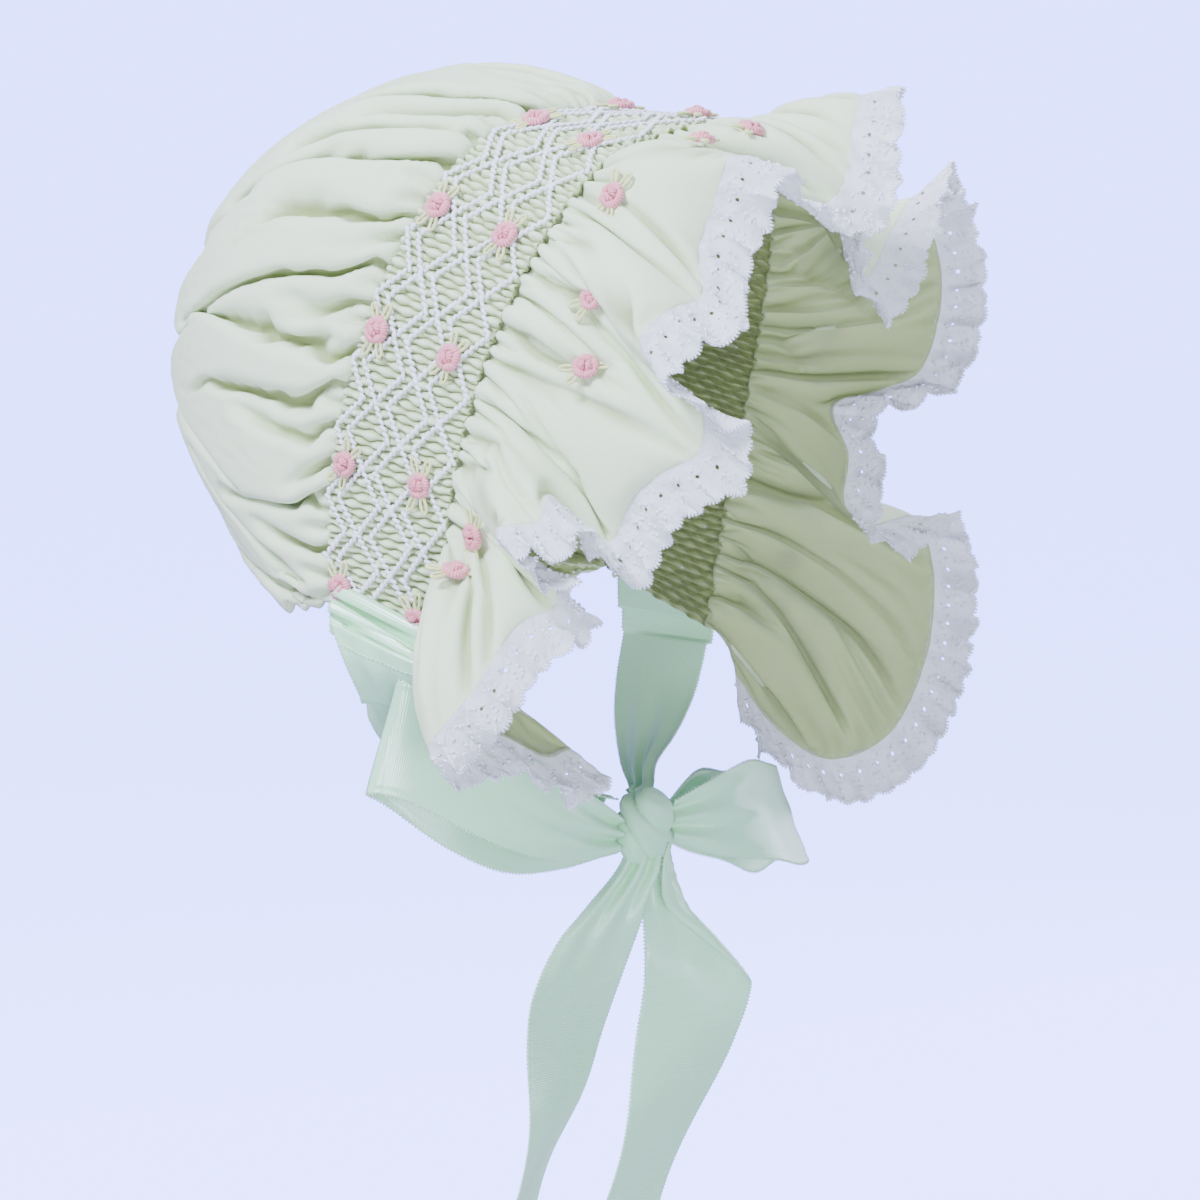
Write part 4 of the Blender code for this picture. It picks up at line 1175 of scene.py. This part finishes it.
LOOP_RIGHT = [
    (-10.1, 8.0, -204.5, 10.0, -10.0, 84.0),
    (-24.0, 12.0, -200.5, 20.0, -20.0, 80.0),
    (-40.0, 18.0, -193.0, 28.0, -30.0, 78.0),
    (-56.5, 23.5, -183.5, 32.0, -30.0, 78.0),
    (-71.0, 30.0, -175.0, 32.0, -30.0, 78.0),
    (-79.5, 36.3, -171.2, 32.0, -30.0, 78.0),
    (-79.5, 41.5, -171.6, 32.0, -30.0, 78.0),
    (-72.5, 39.5, -176.0, 32.0, -30.0, 78.0),
    (-59.0, 31.0, -188.0, 32.0, -30.0, 80.0),
    (-43.0, 24.0, -198.0, 28.0, -30.0, 82.0),
    (-26.0, 17.5, -204.0, 18.0, -20.0, 84.0),
    (-9.6, 11.3, -206.0, 9.0, -10.0, 84.0),
]
LOOP_LEFT = [
    (9.2, 2.7, -202.0, 12.0, 135.0, 90.0),
    (22.0, -6.0, -201.0, 24.0, 135.0, 88.0),
    (38.0, -10.0, -201.0, 30.0, 135.0, 80.0),
    (53.0, -9.0, -204.0, 32.0, 135.0, 72.0),
    (64.0, -5.0, -205.5, 30.0, 135.0, 66.0),
    (68.0, 1.5, -206.0, 26.5, 135.0, 65.0),
    (64.0, 7.0, -207.5, 29.0, 135.0, 68.0),
    (53.0, 8.0, -208.0, 32.0, 135.0, 74.0),
    (39.0, 8.0, -204.0, 28.0, 135.0, 80.0),
    (23.0, 7.0, -202.5, 20.0, 135.0, 88.0),
    (10.5, 6.5, -202.0, 10.0, 135.0, 90.0),
]
TAIL_RIGHT = [
    (-2.5, 5.0, -207.5, 9.0, -52.0, 6.0),
    (-4.5, 6.0, -214.8, 13.0, -50.0, 8.0),
    (-9.0, 10.0, -224.0, 19.0, -44.0, 10.0),
    (-14.0, 13.5, -234.0, 27.0, -34.0, 8.0),
    (-19.0, 16.5, -248.0, 32.0, -18.0, 4.0),
    (-22.0, 19.5, -264.0, 32.0, -2.0, 0.0),
    (-24.0, 22.0, -282.0, 32.0, 8.0, -2.0),
    (-27.0, 26.0, -301.0, 32.0, 16.0, -2.0),
    (-30.0, 31.0, -325.0, 32.0, 22.0, 0.0),
]
TAIL_LEFT = [
    # side, back, height, width, yaw, pitch, flap
    (2.4, 4.2, -207.0, 9.0, -56.0, 0.0, 2.0),
    (4.4, 2.8, -214.5, 13.0, -56.0, 0.0, 5.0),
    (8.0, 0.5, -226.0, 20.0, -56.0, -4.0, 8.0),
    (12.0, -1.5, -236.0, 27.0, -54.0, -8.0, 6.0),
    (14.5, -2.5, -245.0, 31.0, -50.0, -8.0, 2.4),
    (15.0, -2.0, -254.0, 32.0, -40.0, -4.0, 0.0),
    (13.0, 1.0, -268.0, 32.0, -26.0, 0.0, 0.0),
    (9.5, 4.5, -284.0, 32.0, -14.0, 2.0, 0.0),
    (5.5, 9.0, -303.0, 32.0, -6.0, 2.0, 0.0),
    (1.0, 14.5, -325.0, 32.0, 2.0, 2.0, 0.0),
]
RIBBON_RIPPLE = 1.5


def ribbon_points(rows, lengths, crossings):
    """A strip along a route, its width laid along the yaw and pitch of each row."""
    rows = np.asarray(rows, float)
    row = smooth_rows(rows, np.interp(lengths, even_places(smooth_rows(rows, FINE)[:, :3]), FINE))
    yaw, pitch = np.radians(row[:, 4]), np.radians(row[:, 5])
    across = np.stack([np.cos(pitch) * np.cos(yaw), np.cos(pitch) * np.sin(yaw), np.sin(pitch)], axis=-1)
    u = np.asarray(crossings)[None, :]
    offset = u * row[:, 3:4]
    lift = np.zeros_like(offset)
    if rows.shape[1] > 6:
        flap = np.maximum(row[:, 6:7], 0.0)
        crease = row[:, 3:4] / 2 - flap
        over = np.maximum(offset - crease, 0.0)
        lift = np.where(flap > 0.3, np.minimum(over, 2.6), 0.0)
        offset = offset - np.where(flap > 0.3, 2 * np.maximum(over - 2.6 * 0.6, 0.0), 0.0)
    along = unit(np.gradient(row[:, :3], axis=0))
    front = unit(np.cross(along, across))
    front *= np.sign(-front[:, 1:2])
    tight = np.clip(1 - row[:, 3:4] / 32.0, 0, 1)
    ripple = RIBBON_RIPPLE * np.sin(11.0 * np.asarray(lengths)[:, None] + 2.2 * u + 0.7) * (1 - tight)
    drawn_in = 3.4 * tight * np.sin(2 * math.pi * 2.5 * u + 0.6) * (1 - np.abs(u))
    lift = lift + ripple * np.clip(6 * np.asarray(lengths)[:, None], 0, 1) + drawn_in
    return row[:, None, :3] + across[:, None] * offset[..., None] + front[:, None] * lift[..., None]


def satin(name, light, deep):
    """Satin ribbon: fine ribs across it, a long gloss, and a corded selvedge line near each edge."""
    material, tree, shader = principled(name, {
        "Roughness": 0.22, "Anisotropic": 0.5, "Specular IOR Level": 0.9, "Sheen Weight": 0.1,
        "Subsurface Weight": 0.12, "Subsurface Radius": (0.8, 1.0, 0.9), "Subsurface Scale": 0.002})
    coords = tree.nodes.new("ShaderNodeTexCoord")
    split = tree.nodes.new("ShaderNodeSeparateXYZ")
    tree.links.new(coords.outputs["UV"], split.inputs[0])
    ribs = sum_node(tree, "SINE", sum_node(tree, "MULTIPLY", split.outputs[0], 9000.0))
    streak = noise(tree, coords.outputs["Object"], 60.0, 3.0)
    tree.links.new(two_tones(tree, streak, deep, light), shader.inputs["Base Color"])
    edge = tree.nodes.new("ShaderNodeAttribute")
    edge.attribute_name = "crease"
    height = sum_node(tree, "ADD", sum_node(tree, "MULTIPLY", ribs, 0.25), edge.outputs["Fac"])
    raised(tree, shader, height, 0.3, 0.0003)
    return material


SATIN = satin("mint_satin_ribbon", (0.53, 0.93, 0.58), (0.47, 0.87, 0.52))
RIBBON_CROSSINGS = np.concatenate([[-0.5, -0.482, -0.455], np.linspace(-0.42, 0.42, 25), [0.455, 0.482, 0.5]])
RIBBONS = [
    # piece, node, route, steps, flat length, held
    ("tie_right_ribbon", "tie_right", TIE_RIGHT, 210, 0.167, "folded"),
    ("tie_left_ribbon", "tie_left", TIE_LEFT, 130, 0.127, "folded"),
    ("bow_loop_right_ribbon", "bow_loop_right", LOOP_RIGHT, 150, 0.174, "folded"),
    ("bow_loop_left_ribbon", "bow_loop_left", LOOP_LEFT, 150, 0.128, "folded"),
    ("tail_right_ribbon", "tail_right", TAIL_RIGHT, 120, 0.125, "hung"),
    ("tail_left_ribbon", "tail_left", TAIL_LEFT, 120, 0.125, "hung"),
]
PICOT_THREAD = thread("pale_mint_thread", (0.80, 0.98, 0.80), (0.68, 0.90, 0.68), 1500.0)
picot = stitch_bead("picot", 1.1, 0.34, 4, 4, 0.0)
for piece_name, node, route, steps, flat_length, held in RIBBONS:
    grid = ribbon_points(route, np.linspace(0, 1, steps + 1), RIBBON_CROSSINGS)
    edge_at = []
    edge_side = []
    edge_out = []
    ribbon_out = surface_normals(grid)
    for column, next_column in ((0, 1), (-1, -2)):
        line = grid[:, column]
        run = run_of(line)
        where = np.arange(0.6, run[-1], 1.15)
        for field, store in ((line, edge_at), (unit(line - grid[:, next_column]), edge_side),
                             (ribbon_out[:, column], edge_out)):
            store.append(along_line(where, run, field))
    picots = repeated(piece_name + "_picots", np.vstack(edge_at), unit(np.vstack(edge_side)),
                      unit(np.vstack(edge_out)), picot, PICOT_THREAD, slant=0.35, turn=0.15, size=0.2, seed=9)
    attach(picots, "root")
    selvedge = np.tile((np.abs(RIBBON_CROSSINGS) > 0.45).astype(float), (steps + 1, 1))
    ribbon = cloth(piece_name, grid, 0.35, SATIN, crease=selvedge)
    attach(ribbon, "root")
    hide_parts(node)

tack_along = np.linspace(-0.46, 0.46, 19)
tack_grid = ribbon_points(TIE_RIGHT, np.linspace(0, 1, 211), tack_along)
tack_row = int(np.argmin(np.abs(tack_grid[:, 9, 2] + 150.0) + 100.0 * (tack_grid[:, 9, 0] > -77.0)))
tack_points = tack_grid[tack_row] + (-0.45, 0.0, 0.0)
tack = stitch_bead("tack", 1.1, 0.24, 5, 4, 0.0)
tacking = repeated("tie_tacking", tack_points, unit(np.gradient(tack_points, axis=0)),
                   np.tile((-1.0, 0.0, 0.0), (19, 1)), tack, PICOT_THREAD, turn=0.1, size=0.1, seed=6)
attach(tacking, "root")

# Bow knot
# The ribbon wound once round the middle of the bow and pulled tight, so that
# its folds run round the knot on a slant.
KNOT_MIDDLE = np.array([0.0, 6.5, -202.8])
KNOT_HALF = np.array([9.6, 7.2, 11.0])
KNOT_FOLDS = 1.25
around = np.linspace(0, 2 * math.pi, 121)[:-1]
pole = np.linspace(-1, 1, 61) * math.pi / 2 * 0.999
ring_a, ring_p = np.meshgrid(around, pole, indexing="ij")
ball = np.stack([np.cos(ring_p) * np.cos(ring_a), np.cos(ring_p) * np.sin(ring_a), np.sin(ring_p)], axis=-1)
ball = np.sign(ball) * np.abs(ball) ** 0.82
slant = -ball[..., 1] * 0.62 + ball[..., 2] * 0.70 + 0.25 * ball[..., 0] + 0.18 * ball[..., 2] ** 2
crease_wave = np.abs(np.sin(math.pi * (slant * KNOT_FOLDS + 0.30))) ** 0.45
fine_wave = np.abs(np.sin(math.pi * (slant * 3.7 + 0.3 * np.sin(2 * ring_a)))) ** 0.8
knot_size = 0.74 + 0.28 * crease_wave + 0.03 * fine_wave
knot_grid = KNOT_MIDDLE + ball * KNOT_HALF * knot_size[..., None]
knot_mesh = grid_mesh("bow_knot_ribbon", knot_grid, closed=True)[0]
knot_mesh.uv_layers.new(name="cloth")
knot_mesh.materials.append(SATIN)
bow_knot = placed(bpy.data.objects.new("bow_knot_ribbon", knot_mesh))
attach(bow_knot, "root")
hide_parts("bow_knot")

# Bullion roses
# Worked by hand in pink floss: a tight middle of two wound bars, with five
# longer bars curled round it. Each has four looped leaves in pale green.
PETALS = [
    # middle radius, first angle, sweep, tube radius, height
    (2.85, 0.00, 1.75, 1.30, 0.7),
    (2.85, 1.30, 1.75, 1.30, 1.0),
    (2.85, 2.60, 1.75, 1.30, 0.7),
    (2.85, 3.85, 1.75, 1.30, 1.0),
    (2.85, 5.10, 1.75, 1.30, 0.8),
    (1.15, 0.4, 3.0, 1.20, 1.9),
    (1.15, 3.5, 3.0, 1.20, 1.7),
]


def rose_mesh():
    """Wound bars: each wrap of floss stands as a ridge round the bar, with painted shade in the grooves
    between wraps.
    """
    verts = []
    faces = []
    deep = []
    sides = 7
    for radius, first, sweep, tube, height in PETALS:
        rings = int(radius * sweep / 0.45) + 4
        base = len(verts)
        for k in range(rings + 1):
            u = k / rings
            angle = first + sweep * u
            taper = math.sin(math.pi * min(max(u, 0.02), 0.98)) ** 0.35
            drop = height - 0.9 * (2 * u - 1) ** 4
            wrap = 1.0 + 0.17 * (-1) ** k
            for s in range(sides):
                a = 2 * math.pi * s / sides
                r = tube * taper * wrap
                out = radius + r * math.cos(a)
                verts.append((out * math.cos(angle), out * math.sin(angle), drop + r * math.sin(a)))
                # Painted shade in every other ring, the groove between two wraps; the middle bars a little
                # darker all over.
                deep.append((0.95 if k % 2 else 0.0) + (0.1 if radius < 2 else 0.0))
        faces += [(a, d, c, b) for a, b, c, d in tube_faces(base, rings + 1, sides)]
        faces.append([base + s for s in range(sides)])
        faces.append([base + rings * sides + s for s in reversed(range(sides))])
    rose = small_piece("bullion_rose", verts, faces)
    creased = rose.data.attributes.new("crease", "FLOAT", "POINT")
    creased.data.foreach_set("value", np.asarray(deep, np.float32))
    return rose


def leaf_mesh():
    """Looped stitches in pairs above and below the rose."""
    verts = []
    faces = []
    sides = 4
    for heading in (1.15, 1.9, 4.25, 5.0):
        steps = 14
        base = len(verts)
        for k in range(steps):
            u = 2 * math.pi * k / steps
            reach = 5.4 - 2.7 * math.cos(u)
            wide = 1.15 * math.sin(u) * (0.75 - 0.25 * math.cos(u))
            centre = np.array([
                reach * math.cos(heading) - wide * math.sin(heading),
                reach * math.sin(heading) + wide * math.cos(heading), 0.45])
            reach_d = 2.4 * math.sin(u)
            wide_d = 0.95 * math.cos(u) * 0.75
            side = unit(np.array([
                -(reach_d * math.sin(heading) + wide_d * math.cos(heading)),
                reach_d * math.cos(heading) - wide_d * math.sin(heading), 0.0]))
            for s in range(sides):
                a = 2 * math.pi * s / sides
                verts.append(centre + side * 0.56 * math.cos(a) + np.array([0, 0, 0.56 * math.sin(a)]))
        faces += tube_faces(base, steps, sides, closed=True)
    return small_piece("looped_leaves", verts, faces)


# The third colour is the painted shade in the grooves between the wraps of floss.
ROSE_FLOSS = woven("pink_floss", (0.97, 0.47, 0.52), (0.92, 0.40, 0.46), (0.62, 0.13, 0.20),
                   roughness=0.6, threads=20000.0, depth=0.4, sheen=0.3, soft=0.1)
LEAF_FLOSS = thread("pale_green_floss", (0.82, 0.84, 0.44), (0.62, 0.68, 0.28), 1600.0)

rose_share = ROSE_FIRST + ROSE_STEP * np.arange(11)
rose_points = []
rose_out = []
rose_along = []
for across_mm, lift in ((-15.2, 1.3), (11.2, 1.3)):
    along, _, out = band_axes(rose_share)
    rose_points.append(band_point(rose_share, np.full(11, across_mm)) + out * (PLEAT_HEIGHT * 0.5 + lift))
    rose_out.append(out)
    rose_along.append(unit(np.cross(along, out)))
BRIM_ROSES = [
    # place along the brim's edge, depth from the seam
    (0.111, 0.24), (0.137, 0.24), (0.281, 0.39), (0.315, 0.34), (0.385, 0.23), (0.430, 0.42), (0.472, 0.28),
    (0.540, 0.30), (0.600, 0.30), (0.665, 0.36), (0.720, 0.32), (0.840, 0.36), (0.880, 0.28), (0.930, 0.26),
]
brim_rose_out = facing(surface_normals(brim_folded), brim_out)
for place, depth_at in BRIM_ROSES:
    i = int(round(place * (BRIM_COLUMNS - 1)))
    j = int(np.argmin(np.abs(brim_full * lace_seam[i] - depth_at)))
    if place < 0.55:
        out = brim_rose_out[i, j]
        rose_points.append((brim_folded[i, j] + out * 1.9)[None])
    else:
        out = brim_out[i, j]
        near_by = slice(i - 6, i + 7), slice(max(j - 4, 0), j + 5)
        top = ((brim_folded[near_by] - brim_base[i, j]) @ out).max()
        rose_points.append((brim_base[i, j] + out * (top + 0.7))[None])
    rose_out.append(out[None])
    rose_along.append(unit(brim_base[i, j] - brim_base[i, j - 1])[None])
rose_points = np.vstack(rose_points)
rose_out = np.vstack(rose_out)
rose_along = np.vstack(rose_along)
roses = repeated("bullion_roses", rose_points, rose_along, rose_out, rose_mesh(), ROSE_FLOSS,
                 turn=3.1, size=0.12, seed=11)
leaves = repeated("rose_leaves", rose_points, rose_along, rose_out, leaf_mesh(), LEAF_FLOSS,
                  turn=0.35, size=0.12, seed=12)
for piece in (roses, leaves):
    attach(piece, "root")
